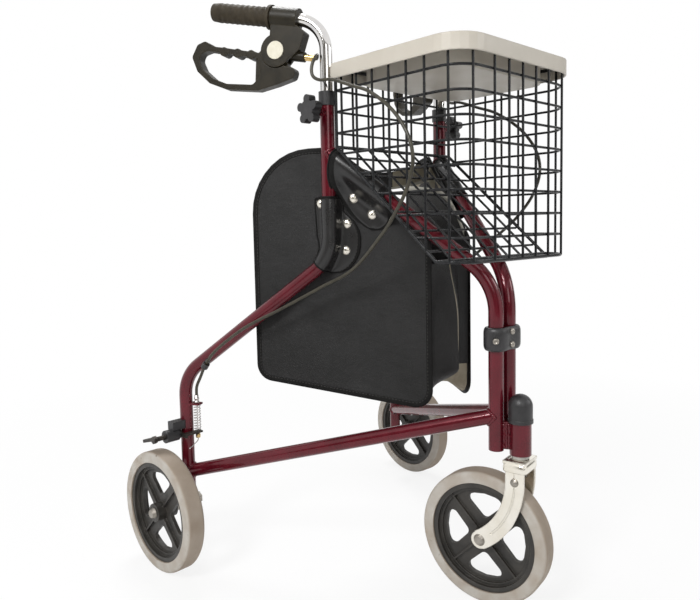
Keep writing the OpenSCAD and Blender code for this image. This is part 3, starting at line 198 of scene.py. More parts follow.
FINISH = {
    "frame_paint": finish(
        "red_enamel", ((0.085, 0.0035, 0.009), (0.12, 0.005, 0.013)), (0.2, 0.3),
        (("Noise", 700, 0.00003), ("Noise", 90, 0.00008)), blotch=22, soft=0.0008, edge=(0.13, 0.012, 0.02),
        Metallic=0.25, Specular_IOR_Level=0.2, Coat_Weight=0.5, Coat_Roughness=0.04),
    "chrome": finish(
        "chrome_plate", ((0.66, 0.65, 0.65), (0.76, 0.74, 0.71)), (0.09, 0.16),
        (("Noise", 260, 0.00002),), blotch=40, Metallic=1.0),
    "black_plastic": finish(
        "moulded_black", ((0.016, 0.0155, 0.0165), (0.027, 0.026, 0.0275)), (0.32, 0.46),
        (("Noise", 1600, 0.00012), ("Noise", 140, 0.0001)), blotch=60, soft=0.0016,
        edge=(0.055, 0.053, 0.054), marks=(90, 0.7, (0.05, 0.048, 0.046), (1, 1, 0.4))),
    "grip_rubber": finish(
        "grip_rubber", ((0.025, 0.018, 0.009), (0.042, 0.032, 0.018)), (0.55, 0.75),
        (("Voronoi", 1300, 0.00015), ("Noise", 300, 0.0002)), blotch=70, soft=0.0015,
        edge=(0.065, 0.05, 0.03), Specular_IOR_Level=0.3),
    "pale_cap": finish(
        "pale_disc", ((0.7, 0.66, 0.53), (0.76, 0.72, 0.6)), (0.25, 0.4),
        (("Noise", 500, 0.00005),), blotch=120, soft=0.0008),
    "brass": finish(
        "turned_brass", ((0.6, 0.4, 0.15), (0.76, 0.57, 0.28)), (0.2, 0.36),
        (("Noise", 1400, 0.00005),), blotch=200, Metallic=1.0),
    "cable_sheath": finish(
        "cable_sheath", ((0.026, 0.022, 0.012), (0.046, 0.04, 0.024)), (0.3, 0.44),
        (("Noise", 900, 0.00006),), blotch=90),
    "dark_steel": finish(
        "blackened_steel", ((0.035, 0.031, 0.028), (0.07, 0.062, 0.054)), (0.34, 0.5),
        (("Noise", 700, 0.00008),), blotch=110, soft=0.001, edge=(0.16, 0.14, 0.12), Metallic=0.7),
    "spring_steel": finish(
        "zinc_wire", ((0.55, 0.53, 0.51), (0.7, 0.68, 0.66)), (0.2, 0.34),
        (("Noise", 2000, 0.00003),), blotch=300, Metallic=1.0),
    # Painted shade and light: the tread's darker brown tones are painted shade, the paler colour on the
    # sidewalls is painted light
    "tyre": finish(
        "grey_tyre", ((0.3, 0.242, 0.187), (0.365, 0.305, 0.246)), (0.62, 0.8),
        (("Noise", 420, 0.00018), ("Noise", 60, 0.0003)), blotch=22, soft=0.003,
        marks=(85, 0.7, (0.24, 0.19, 0.15), (1, 1, 1)), lit_flank=(0.5, 0.475, 0.43)),
    "hub_plastic": finish(
        "hub_plastic", ((0.02, 0.018, 0.0155), (0.038, 0.034, 0.029)), (0.4, 0.56),
        (("Noise", 800, 0.00014), ("Noise", 90, 0.00016)), blotch=35, soft=0.0014, edge=(0.1, 0.09, 0.075)),
    "axle_steel": finish(
        "axle_steel", ((0.26, 0.24, 0.21), (0.4, 0.37, 0.33)), (0.26, 0.42),
        (("Noise", 600, 0.00006),), blotch=120, soft=0.0008, edge=(0.6, 0.57, 0.52), Metallic=0.9),
    "bush": finish(
        "bearing_plastic", ((0.4, 0.4, 0.38), (0.48, 0.47, 0.45)), (0.4, 0.5),
        (("Noise", 600, 0.00006),), blotch=90),
    "basket_wire": finish(
        "coated_wire", ((0.0065, 0.007, 0.008), (0.012, 0.0125, 0.0135)), (0.22, 0.34),
        (("Noise", 800, 0.00008),), blotch=50, Specular_IOR_Level=0.25, Coat_Weight=0.12, Coat_Roughness=0.1),
    "tray_plastic": finish(
        "tray_plastic", ((0.52, 0.48, 0.41), (0.57, 0.53, 0.46)), (0.34, 0.46),
        (("Noise", 1200, 0.00008), ("Noise", 40, 0.00015)), blotch=14, soft=0.0025, edge=(0.61, 0.57, 0.5)),
    "vinyl": finish(
        "grained_vinyl", ((0.0075, 0.0072, 0.007), (0.013, 0.0125, 0.0125)), (0.36, 0.5),
        (("Voronoi", 1100, 0.00026), ("Noise", 90, 0.0006)), blotch=18, Specular_IOR_Level=0.3),
}
LEVER = finish(
    "lever_black", ((0.012, 0.0095, 0.0045), (0.021, 0.0168, 0.009)), (0.34, 0.46),
    (("Noise", 1600, 0.00012), ("Noise", 140, 0.0001)), blotch=60, soft=0.0022, edge=(0.075, 0.058, 0.032),
    Specular_IOR_Level=0.25)
# Chrome tinted cream: painted reflection of pale warm surroundings, on the caster's fork, its crown and the
# press studs
PAINTED_REFLECTION_CHROME = finish(
    "chrome_painted_cream_reflection", ((0.8, 0.755, 0.66), (0.87, 0.835, 0.76)), (0.12, 0.24),
    (("Noise", 300, 0.00003),), blotch=30, soft=0.0035, Metallic=1.0)
STRAP = finish(
    "strap_leather", ((0.012, 0.0115, 0.0115), (0.0165, 0.016, 0.016)), (0.26, 0.32),
    (("Voronoi", 1000, 0.00003), ("Noise", 30, 0.00006)), blotch=25)
BINDING = finish(
    "edge_binding", ((0.0042, 0.004, 0.0038), (0.0075, 0.0072, 0.0068)), (0.45, 0.6),
    (("Voronoi", 1500, 0.00016), ("Noise", 160, 0.0003)), blotch=40, Specular_IOR_Level=0.15)
THREAD = finish(
    "thread", ((0.012, 0.011, 0.01), (0.03, 0.028, 0.025)), (0.6, 0.8),
    (("Noise", 3000, 0.0001),), blotch=400)
LINING = finish(
    "lining", ((0.25, 0.22, 0.155), (0.35, 0.31, 0.235)), (0.7, 0.85),
    (("Voronoi", 1400, 0.0002), ("Noise", 120, 0.0006)), blotch=30)
HEM = finish(
    "hem_tape", ((0.4, 0.38, 0.32), (0.5, 0.48, 0.42)), (0.6, 0.75),
    (("Voronoi", 1800, 0.0002),), blotch=60)

for row in frame["record"]["subparts"]:
    node = nodes[row["node"]]
    node.data.materials.clear()
    if "brake_lever" in row["node"] or "brake_housing" in row["node"]:
        node.data.materials.append(LEVER)
    else:
        node.data.materials.append(PAINTED_REFLECTION_CHROME if row["node"] == "caster_fork" else FINISH[row["material_slot"]])


# Mesh helpers
def piece(name, verts, faces, materials, body, slot=None, side=1, chosen=None, closed=False):
    """A new mesh piece that rides on a body. Faces of the left side are turned, because its points are
    mirrored."""
    mesh = bpy.data.meshes.new(name)
    mesh.from_pydata([tuple(v) for v in verts], [], faces if side == 1 else turned(faces))
    for m in materials if isinstance(materials, (list, tuple)) else [materials]:
        mesh.materials.append(m)
    if chosen:
        mesh.polygons.foreach_set("material_index", chosen)
    mesh.polygons.foreach_set("use_smooth", [True] * len(mesh.polygons))
    if closed:
        shell = bmesh.new()
        shell.from_mesh(mesh)
        bmesh.ops.recalc_face_normals(shell, faces=shell.faces)
        shell.to_mesh(mesh)
        shell.free()
    obj = bpy.data.objects.new(name, mesh)
    scene.collection.objects.link(obj)
    if body:
        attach(obj, body)
    return obj


def joined(parts):
    """Several meshes as one."""
    verts, faces = [], []
    for v, f in parts:
        faces += [tuple(i + len(verts) for i in face) for face in f]
        verts += list(v)
    return verts, faces


def grid_faces(rows, cols, wrap=False):
    """Faces between rows of points, where each row can close to a ring."""
    faces = []
    for i in range(rows - 1):
        for j in range(cols if wrap else cols - 1):
            k = (j + 1) % cols
            faces.append((i * cols + j, i * cols + k, (i + 1) * cols + k, (i + 1) * cols + j))
    return faces


def turned(faces):
    """The same faces, looking the other way."""
    return [f[::-1] for f in faces]


def tube(points, radius, sides=10, closed=False):
    """A round tube along points, with a radius for all of them or one each."""
    p = [Vector(x) for x in points]
    n = len(p)
    radii = [radius] * n if isinstance(radius, (int, float)) else list(radius)
    verts, up = [], None
    for i in range(n):
        a, b = (p[i - 1], p[(i + 1) % n]) if closed else (p[max(i - 1, 0)], p[min(i + 1, n - 1)])
        t = (b - a).normalized()
        if up is None:
            up = t.orthogonal().normalized()
        up = (up - t * up.dot(t)).normalized()
        side = t.cross(up)
        verts += [p[i] + (up * math.cos(k) + side * math.sin(k)) * radii[i]
                  for k in np.linspace(0, 2 * math.pi, sides, endpoint=False)]
    faces = turned(grid_faces(n, sides, True))
    last = (n - 1) * sides
    if closed:
        faces += [(last + j, j, (j + 1) % sides, last + (j + 1) % sides) for j in range(sides)]
    else:
        faces += [tuple(range(sides)), tuple(reversed(range(last, n * sides)))]
    return verts, faces


def facing(place, direction):
    """A matrix that stands +Z on a direction at a place."""
    return Matrix.Translation(place) @ direction.to_track_quat("Z", "Y").to_matrix().to_4x4()


def lathe(profile, matrix, sides=24):
    """A turned form from (radius, height) pairs in millimetres, closed at both ends."""
    verts = [matrix @ (Vector((r * math.cos(a), r * math.sin(a), h)) * MM)
             for r, h in profile for a in np.linspace(0, 2 * math.pi, sides, endpoint=False)]
    faces = grid_faces(len(profile), sides, True)
    faces += [tuple(reversed(range(sides))), tuple(range((len(profile) - 1) * sides, len(profile) * sides))]
    return verts, faces


def modify(obj, kind, **settings):
    """A modifier with these settings."""
    m = obj.modifiers.new(kind.lower(), kind)
    for key, value in settings.items():
        setattr(m, key, value)


def smooth_line(points, steps):
    """Points of a smooth curve through the given ones."""
    p = [np.array(x, float) for x in points]
    p = [2 * p[0] - p[1], *p, 2 * p[-1] - p[-2]]
    out = []
    for a, b, c, d in zip(p, p[1:], p[2:], p[3:]):
        for t in np.linspace(0, 1, steps, endpoint=False):
            out.append(0.5 * (2 * b + (c - a) * t + (2 * a - 5 * b + 4 * c - d) * t * t
                              + (3 * b - a - 3 * c + d) * t ** 3))
    out.append(p[-2])
    return out


def ease(value, low, high):
    """A smooth step from 0 at low to 1 at high."""
    k = min(max((value - low) / (high - low), 0), 1)
    return k * k * (3 - 2 * k)


# Bag panels: a grained board in an edge binding with a row of stitches
OUTLINE = [(96, brace_z(96) - 12), (263, 690), (391, 690), (391, 318), (96, 284)]
ROUNDS, LEAST_ROUND = [12, 12, 100, 28, 28], 0.6
CENTRE = np.array((255.0, 470.0))
BOARD_FACE, BOARD_BACK, EDGE_DIP, BOARD_WAVE = -14.1, -16.2, -0.2, 0.2
BOARD_INSETS = (1.2, 11, 16)
BOARD_SHARES = (0.86, 0.7, 0.52, 0.34, 0.17)
LINED_FROM = 620
# Inset from the outline and place outward, round the panel's edge
BINDING_PROFILE = [
    (9.4, -14.4), (9.1, -13.95), (8.2, -13.8), (4.5, -13.75), (1.6, -13.85), (0.3, -14.4), (0, -15.2),
    (0.3, -16), (1.6, -16.55), (4.5, -16.65), (8.2, -16.6), (9.1, -16.45), (9.4, -16.0)]
STITCH_INSET = 7.4
STITCH_FACES = ((-13.8, 1), (-16.6, -1))
HEM_LINE = [(112, 552), (160, 598), (215, 622), (300, 632), (366, 638)]
HEM_PROFILE = ((-5, -16.4), (-4.2, -17.5), (4.2, -17.5), (5, -16.4))
HEM_STEPS = 8


def panel_ring(inset, arc=9, run=14):
    """The panel's outline drawn in by an inset, always with the same count of points."""
    p = [np.array(x, float) for x in OUTLINE]
    n = len(p)
    lines = []
    for i in range(n):
        d = (p[(i + 1) % n] - p[i]) / np.linalg.norm(p[(i + 1) % n] - p[i])
        lines.append((p[i] + inset * np.array((d[1], -d[0])), d))
    corners = []
    for i in range(n):
        (a, d), (b, e) = lines[i - 1], lines[i]
        t = np.linalg.solve(np.column_stack([d, -e]), b - a)
        corners.append(a + d * t[0])
    arcs = []
    for i in range(n):
        d, e = lines[i - 1][1], lines[i][1]
        r = max(ROUNDS[i] - inset, LEAST_ROUND)
        turn = math.acos(np.clip(d @ e, -1, 1))
        reach = r * math.tan(turn / 2)
        start = corners[i] - d * reach
        centre = start + r * np.array((d[1], -d[0]))
        first = math.atan2(*(start - centre)[::-1])
        angles = [first - turn * k / arc for k in range(arc + 1)]
        arcs.append([centre + r * np.array((math.cos(a), math.sin(a))) for a in angles])
    ring = []
    for i in range(n):
        ring += arcs[i]
        a, b = arcs[i][-1], arcs[(i + 1) % n][0]
        ring += [a + (b - a) * k / run for k in range(1, run)]
    return ring


def dashes(points, out, length=3.6, pitch=5.4, width=0.55, height=0.5, taper=0.8):
    """Raised stitches along a line of points, standing out in one direction."""
    p = np.array([tuple(v) for v in points])
    travel = np.concatenate([[0], np.cumsum(np.linalg.norm(np.diff(p, axis=0), axis=1))]) / MM
    parts = []
    for i in range(int((travel[-1] - length) / pitch)):
        a, b = (Vector([np.interp(i * pitch + d, travel, p[:, k]) for k in range(3)]) for d in (0, length))
        along = (b - a).normalized()
        wide = along.cross(out).normalized() * width * MM
        high = out * height * MM
        verts = [a]
        for end in (a + along * taper * MM, b - along * taper * MM):
            verts += [end + wide, end + high, end - wide]
        verts.append(b)
        parts.append((verts, [(0, 2, 1), (0, 3, 2), (1, 2, 5, 4), (2, 3, 6, 5), (4, 5, 7), (5, 6, 7)]))
    return joined(parts)


def wave(s, z):
    """How far the panel's face dips from flat, in millimetres."""
    return BOARD_WAVE * (math.sin(s / 37 + z / 61) + math.sin(z / 43 - s / 71)) - BOARD_WAVE


def bag_panel(side, name):
    """A panel with its binding, stitches and the hem of its lining."""
    body = name + "_frame"
    rings = [panel_ring(inset) for inset in BOARD_INSETS]
    flat = len(rings) - 1
    rings += [[CENTRE + (p - CENTRE) * share for p in rings[flat]] for share in BOARD_SHARES]
    count = len(rings[0])
    back = [[(BOARD_BACK, p) for p in ring] for ring in rings[::-1]]
    face = [[(BOARD_FACE + (wave(*p) if i >= flat else EDGE_DIP), p) for p in ring]
            for i, ring in enumerate(rings)]
    verts = [at(p[0], n, p[1], side) for layer in back + face for n, p in layer]
    rows = len(back + face)
    middle = len(verts)
    verts += [at(CENTRE[0], n, CENTRE[1], side) for n in (BOARD_BACK, BOARD_FACE + wave(*CENTRE))]
    faces = grid_faces(rows, count, True)
    for first, centre in ((0, middle), ((rows - 1) * count, middle + 1)):
        faces += [(first + j, first + (j + 1) % count, centre) for j in range(count)]
    inner = [max(f) < len(back) * count or middle in f for f in faces]
    lined = [int(a and min(verts[i].z for i in f) > LINED_FROM * MM) for a, f in zip(inner, faces)]
    board = piece(name + "_bag_board", verts, faces, [FINISH["vinyl"], LINING], body, "vinyl", side, lined,
                  closed=True)
    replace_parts(board, name + "_bag_panel")
    verts = [at(p[0], n, p[1], side) for inset, n in BINDING_PROFILE for p in panel_ring(inset)]
    faces = turned(grid_faces(len(BINDING_PROFILE), count, True))
    piece(name + "_bag_binding", verts, faces, BINDING, body, "vinyl", side)
    line = panel_ring(STITCH_INSET)
    line.append(line[0])
    parts = [dashes([at(p[0], n, p[1], side) for p in line], way(0, out, 0, side)) for n, out in STITCH_FACES]
    piece(name + "_bag_stitches", *joined(parts), THREAD, body, "vinyl")
    hem = smooth_line(HEM_LINE, HEM_STEPS)
    strip = [at(s, n, z + w, side) for s, z in hem for w, n in HEM_PROFILE]
    piece(name + "_bag_hem", strip, grid_faces(len(hem), len(HEM_PROFILE)), HEM, body, "vinyl", side)


for side, name in SIDES:
    bag_panel(side, name)

# Straps: thin vinyl folded round the tubes, closed by press studs
STRAP_T, STRAP_EDGE_R, SEAM_LIFT, ON_PANEL = 1.2, 1.4, 0.6, -12.9
STUD = [(8.4, -1.2), (8.4, 0.2), (8.0, 0.7), (7.4, 0.8), (7.2, 1.2), (6.8, 2.1), (5.9, 3.1), (4.4, 4.0),
        (2.3, 4.6), (0.2, 4.8)]
STUDS = ((217, -11.4, 610), (187, -11.9, 584), (228, -11.9, 571), (230, -11.9, 530), (270, -12.1, 603))
# The column's bend under the lower strap
COLUMN_CORNER_Z, COLUMN_TURN, BEND_R = 518, math.radians(53.5), 65
BEND_S, BEND_Z = COLUMN + BEND_R, COLUMN_CORNER_Z + BEND_R * math.tan(COLUMN_TURN / 2)
# The lower strap from its top edge down: stations, then how far its flap and its flange reach at some of them
SLEEVE_TOP_Z = 612
SLEEVE = [0, 3, 8, 14, 20, 26, 32, 38, 45, 52, 60, 68, 76, 84, 92, 100, 106, 110]
FLAP = ((0, 20, 26, 36, 50, 62, 75, 88, 98, 106, 110), (17, 17.5, 22, 34, 42, 45, 45.5, 42, 34, 22, 16.5))
FLANGE = ((0, 6, 60, 85, 110), (27, 28.5, 26, 20, 16))
FLAP_ROOT, FLAP_RISE = 15.9, 2.4 / 30
FLAP_SHARES = (0.2, 0.45, 0.72, 0.88, 1.0)
SLEEVE_R, PUFF, PUFF_LENGTH = 12.2, 0.035, 11.0
SLEEVE_TURNS = np.linspace(math.radians(172), math.radians(8), 9)
# The upper strap's two long edges below the brace, and how far outward it stands below the brace's line
UPPER_LEFT = [(245, 674), (249, 655), (248, 636), (241, 614), (228, 594), (214, 579), (199, 568), (189, 563)]
UPPER_RIGHT = [(163, 610), (156, 601), (151, 592), (150, 583), (154, 574), (162, 567), (173, 563), (185, 562)]
UPPER_STEPS = 3
UPPER_SHARES = np.linspace(0, 1, 11)
UPPER_DROP = (0, 4, 8, 12, 16, 20, 25, 31, 40, 200)
UPPER_OUT = (12.2, 12, 10.6, 7.2, 1.8, -4.2, -9.6, -12.3, -12.7, -12.7)
OVER_R = 12.4
OVER_TURNS = np.linspace(0.35, 2.75, 7)
# The tongue's puckers, from one of its rows on, and where it lies over the column
PUCKER, PUCKER_WAVE, PUCKER_FROM, PUCKER_ROWS = 2.0, 0.8, 9, 12
OVER_COLUMN_S, OVER_COLUMN_Z, COLUMN_OUT = (222, 244), (602, 632), 11.3


def sleeve_point(t, u, n, side):
    """On the lower strap: t down the column, then round its bend; u forward of the tube; n outward."""
    run = SLEEVE_TOP_Z - BEND_Z
    if t <= run:
        return at(COLUMN - u, n, SLEEVE_TOP_Z - t, side)
    a = (t - run) / BEND_R
    r = BEND_R + u
    return at(BEND_S - r * math.cos(a), n, BEND_Z - r * math.sin(a), side)


def sleeve_section(t, flap, flange):
    """The lower strap's section (forward of the tube, outward): flange, half round of the tube, flap."""
    puff = 1 + PUFF * math.sin(t / PUFF_LENGTH)
    section = [(-flange, ON_PANEL), (-(flange + 16) / 2, -12.8), (-15.6, -11.6), (-13.6, -7.5),
               (-12.5 * puff, -2)]
    section += [(SLEEVE_R * puff * math.cos(a), SLEEVE_R * puff * math.sin(a)) for a in SLEEVE_TURNS]
    section += [(12.5 * puff, -2), (13.8, -7.5), (FLAP_ROOT, -11.4)]
    reach = flap - FLAP_ROOT
    for k in FLAP_SHARES:
        section.append((FLAP_ROOT + reach * k, ON_PANEL + FLAP_RISE * math.sin(math.pi * k) * reach))
    return section


def upper_n(w):
    """How far outward the upper strap stands at a height w above the brace's line."""
    if w >= 0:
        return math.sqrt(max(SLEEVE_R ** 2 - w * w, 0))
    return float(np.interp(-w, UPPER_DROP, UPPER_OUT))


def tongue_point(i, k, a, b):
    """On row i of the upper strap's tongue, at a share k of the way between the edge points a and b."""
    s, z = a + (b - a) * k
    fullness = math.sin(math.pi * min(max(i - PUCKER_FROM, 0) / PUCKER_ROWS, 1))
    pucker = PUCKER * math.sin(math.pi * k) * fullness + PUCKER_WAVE * math.sin(9 * k)
    n = upper_n((z - brace_z(s)) * math.cos(BRACE)) + max(pucker, 0)
    over_column = ease(s, *OVER_COLUMN_S) * ease(z, *OVER_COLUMN_Z)
    return s, n + max(COLUMN_OUT - n, 0) * over_column, z


def rim_of(rows):
    """The points round the edge of a grid of points."""
    return [*rows[0], *(row[-1] for row in rows[1:]), *rows[-1][-2::-1], *(row[0] for row in rows[-2:0:-1])]


def strap(label, rows, faces, bound, rim, side, name):
    """A strap from rows of points, with bound faces and a rolled rim."""
    body = name + "_frame"
    verts = [p for row in rows for p in row]
    obj = piece(label, verts, faces, [STRAP, BINDING], body, "vinyl", side, bound)
    modify(obj, "SOLIDIFY", thickness=STRAP_T * MM, offset=0.0)
    modify(obj, "SUBSURF", levels=1, render_levels=2)
    mesh = tube(rim, STRAP_EDGE_R * MM, sides=8, closed=True)
    piece(label + "_edge", *mesh, BINDING, body, "vinyl", closed=True)


def lower_strap(side, name):
    """A sleeve round the column with a crescent flap."""
    reaches = zip(SLEEVE, np.interp(SLEEVE, *FLAP), np.interp(SLEEVE, *FLANGE))
    rows = [[sleeve_point(t, u, n, side) for u, n in sleeve_section(t, f, r)] for t, f, r in reaches]
    cols = len(rows[0])
    bound = [int(i < 1 or j >= cols - 2) for i in range(len(rows) - 1) for j in range(cols - 1)]
    faces = turned(grid_faces(len(rows), cols))
    strap(name + "_lower_strap", rows, faces, bound, rim_of(rows), side, name)
    out = way(0, 1, 0, side)
    flap_seam = dashes([row[-2] + out * SEAM_LIFT * MM for row in rows[4:-1]], out)
    flange_seam = dashes([row[1] + out * SEAM_LIFT * MM for row in rows[:-4]], out)
    piece(name + "_lower_strap_stitches", *joined([flap_seam, flange_seam]), THREAD, name + "_frame", "vinyl")


def upper_strap(side, name):
    """A strap over the brace with a rounded tongue."""
    left, right = smooth_line(UPPER_LEFT, UPPER_STEPS), smooth_line(UPPER_RIGHT, UPPER_STEPS)
    over = [(-6, ON_PANEL), (0, -12.6)] + [(OVER_R * math.sin(a), -OVER_R * math.cos(a)) for a in OVER_TURNS]
    starts = [left[0][0] + (right[0][0] - left[0][0]) * k for k in UPPER_SHARES]
    rows = [[(s - math.sin(BRACE) * w, n, brace_z(s) + math.cos(BRACE) * w) for s in starts] for w, n in over]
    rows += [[tongue_point(i, k, a, b) for k in UPPER_SHARES] for i, (a, b) in enumerate(zip(left, right))]
    rows = [[at(*p, side) for p in row] for row in rows]
    cols = len(UPPER_SHARES)
    last = len(rows) - 2
    bound = [int(j in (0, cols - 2) or i >= last) for i in range(len(rows) - 1) for j in range(cols - 1)]
    rim = rim_of(list(zip(*rows)))
    strap(name + "_upper_strap", rows, grid_faces(len(rows), cols), bound, rim, side, name)


for side, name in SIDES:
    lower_strap(side, name)
    upper_strap(side, name)
    studs = [lathe(STUD, facing(at(*place, side), way(0, 1, 0, side))) for place in STUDS]
    piece(name + "_press_studs", *joined(studs), PAINTED_REFLECTION_CHROME, name + "_frame", "chrome", closed=True)

# Gusset: folded vinyl between the panels along their edges, in strips that follow both frames
INSIDE, ACROSS = -17.2, 41
GUSSET_INSET, GUSSET_STEP, BOTTOM_STRIPS = 3.4, 5.5, 9
GUSSET_FRONT_TOP, GUSSET_REAR_TOP = 508, 588
# The ring's points from the panel's rear edge round its lower corners to its front edge
EDGE_FROM, EDGE_TO = 55, 115
BOTTOM_FRONT_S, BOTTOM_REAR_S, MIDDLE_S = 128, 384, 200
# Heights over which the bottom's fold turns into the front's crease and the rear's fold
FRONT_TURN, REAR_TURN, CREASE_FALL = (300, 345), (330, 400), (345, 500)
UNDER_DEPTH, REAR_DEPTH, RIPPLE = 42, 60, 1.5
# Where the pale reverse shows at the front, and across the mouth with its hem
PALE_TO_S, PALE_CORNER_Z, PALE_TOP_Z = 130, 345, 470
PALE_FROM, PALE_TO, HEM_FROM = 0.66, 0.95, 0.62
MOUTH_S, MOUTH_LOW_Z, MOUTH_TOP_Z, MOUTH_ROWS = 257, 600, 683, 8
MOUTH = [np.array((MOUTH_S + k, MOUTH_TOP_Z - GUSSET_STEP * k)) for k in range(MOUTH_ROWS)]
edge = np.array(panel_ring(GUSSET_INSET)[EDGE_FROM:EDGE_TO][::-1])
travel = np.concatenate([[0], np.cumsum(np.linalg.norm(np.diff(edge, axis=0), axis=1))])
stops = np.arange(0, travel[-1], GUSSET_STEP)
edge = [np.array([np.interp(d, travel, edge[:, k]) for k in (0, 1)]) for d in stops]
edge = [p for p in edge if p[1] < (GUSSET_FRONT_TOP if p[0] < MIDDLE_S else GUSSET_REAR_TOP)]


def fold(s, z, q):
    """How far the gusset lies inward of the line between the panels, in millimetres."""
    front = ease(z, *FRONT_TURN) if s < MIDDLE_S else 0
    rear = ease(z, *REAR_TURN) if s > MIDDLE_S else 0
    fall = 1 - ease(z, *CREASE_FALL)
    middle = 1 - abs(2 * q - 1)
    crease = np.interp(q, (0, 0.5, 0.84, 1), (0, -2 - 19 * fall - 4 * math.sin(z / 31), 7, 0))
    under, back = UNDER_DEPTH * middle ** 1.1, REAR_DEPTH * middle ** 1.15
    ripple = RIPPLE * math.sin(z / 23 + 7 * q) * math.sin(math.pi * q)
    return front * crease + rear * back + (1 - front - rear) * under + ripple


def reverse_side(s, z, q):
    """Whether the pale reverse of the vinyl shows: beside the front crease and in the corner under it."""
    if s > PALE_TO_S:
        return False
    if z > PALE_CORNER_Z:
        return 0.5 < q < 0.56 + 0.16 * (1 - ease(z, PALE_CORNER_Z, PALE_TOP_Z))
    return 0.52 < q < 0.97


def sag(z, q):
    """How far the bag's mouth hangs back and down between the columns, in millimetres."""
    back = 9 + 4 * math.sin(9 * q + z / 17)
    drop = -6 - 20 * ease(z, MOUTH_LOW_Z, MOUTH_TOP_Z)
    return np.array((back, drop)) * math.sin(math.pi * q)


def gusset(label, stations, mouth=False):
    """A strip of the gusset, or of the bag's mouth, from the right panel to the left one."""
    rows = []
    for i, (s, z) in enumerate(stations):
        ahead = stations[min(i + 1, len(stations) - 1)] - stations[max(i - 1, 0)]
        inward = np.array((-ahead[1], ahead[0])) / np.linalg.norm(ahead)
        a, b = at(s, INSIDE, z, 1), at(s, INSIDE, z, -1)
        row = []
        for q in np.linspace(0, 1, ACROSS):
            d = sag(z, q) if mouth else inward * fold(s, z, q)
            row.append(a + (b - a) * q + Vector((0, d[0], d[1])) * MM)
        rows.append(row)
    middles = [(j + 0.5) / (ACROSS - 1) for j in range(ACROSS - 1)]
    if mouth:
        hem = len(stations) - 2
        chosen = [2 if q > HEM_FROM and i == hem else int(PALE_FROM < q < PALE_TO)
                  for i in range(hem + 1) for q in middles]
    else:
        chosen = [int(reverse_side(*p, q)) for p in stations[:-1] for q in middles]
    verts = [p for row in rows for p in row]
    faces = turned(grid_faces(len(stations), ACROSS))
    obj = piece(label, verts, faces, [FINISH["vinyl"], LINING, HEM], None, "vinyl", 1, chosen)
    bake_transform(obj)
    return obj


first = [p[0] > BOTTOM_FRONT_S for p in edge].index(True)
last = [p[0] > BOTTOM_REAR_S for p in edge].index(True)
gusset("bag_gusset_front", edge[:first + 1])
cuts = np.linspace(first, last, BOTTOM_STRIPS + 1).astype(int)
for i, (a, b) in enumerate(zip(cuts, cuts[1:])):
    gusset("bag_gusset_bottom_%d" % (i + 1), edge[a:b + 1])
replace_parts(gusset("bag_gusset_rear", edge[last:]), "bag_gusset")
gusset("bag_mouth", MOUTH, True)

# Weld beads where the tubes meet
WELD_R, WELD_LEAST, WELD_LUMP, WELD_STEPS = 2.5, 0.8, 0.4, 64
# Heights of the bottom tube's axis at the front tube and at the leg
TUBE_FRONT_Z, TUBE_LEG_Z = 289, 152
# Points on the axes of bottom tube and brace, and heights on the tubes that they end on
ON_BOTTOM, ON_BRACE = (260, 220.6), (150, brace_z(150))
LEG_WELD_Z, FRONT_WELD_Z, COLUMN_WELD_Z = 200, 260, 640


def weld(start, along, other, name, body):
    """A lumpy bead where a tube, along a direction from start, ends on an upright one through other."""
    along = along.normalized()
    e1 = along.orthogonal().normalized()
    e2 = along.cross(e1)
    d = along - UP * along.dot(UP)
    points = []
    for a in np.linspace(0, 2 * math.pi, WELD_STEPS, endpoint=False):
        p = start + (e1 * math.cos(a) + e2 * math.sin(a)) * TUBE_R * MM
        q = p - other
        q = q - UP * q.dot(UP)
        A, B, C = d.dot(d), 2 * q.dot(d), q.dot(q) - (TUBE_R * MM) ** 2
        root = B * B - 4 * A * C
        t = (-B - math.sqrt(root)) / (2 * A) if root > 0 else -B / (2 * A)
        points.append(p + along * t)
    radii = [WELD_R * MM * (WELD_LEAST + WELD_LUMP * rng.random()) for _ in points]
    mesh = tube(points, radii, sides=8, closed=True)
    piece(name, *mesh, FINISH["frame_paint"], body, "frame_paint", closed=True)


for side, name in SIDES:
    body = name + "_frame"
    down = at(LEG, 0, TUBE_LEG_Z, side) - at(0, 0, TUBE_FRONT_Z, side)
    rise = at(COLUMN, 0, brace_z(COLUMN), side) - at(0, 0, brace_z(0), side)
    on_bottom, on_brace = (at(s, 0, z, side) for s, z in (ON_BOTTOM, ON_BRACE))
    weld(on_bottom, down, at(LEG, 0, LEG_WELD_Z, side), name + "_weld_leg", body)
    weld(on_bottom, -down, at(0, 0, FRONT_WELD_Z, side), name + "_weld_front", body)
    weld(on_brace, rise, at(COLUMN, 0, COLUMN_WELD_Z, side), name + "_weld_brace", body)

# Crinkled weld on the plate between the right front tube and the head tube
PLATE_X, PLATE_Y, PLATE_OUT = 0.447, -0.894, 3.4
BEAD_REACHES = (11.6, 15.2, 18.8)
BEAD_HEIGHTS = np.arange(243, 280, 2.4)
BEAD_LEAST_R, BEAD_LUMP, BEAD_JITTER = 1.6, 1.1, 0.0004
beads = []
for reach in BEAD_REACHES:
    x = -HINGE_X + PLATE_X * reach + PLATE_Y * PLATE_OUT
    y = HINGE_Y + PLATE_Y * reach - PLATE_X * PLATE_OUT
    line = [Vector((x, y, z)) * MM + Vector(rng.normal(0, BEAD_JITTER, 3)) for z in BEAD_HEIGHTS]
    beads.append(tube(line, [MM * (BEAD_LEAST_R + BEAD_LUMP * rng.random()) for _ in line], sides=8))
piece("head_weld", *joined(beads), FINISH["frame_paint"], "right_frame", "frame_paint", closed=True)

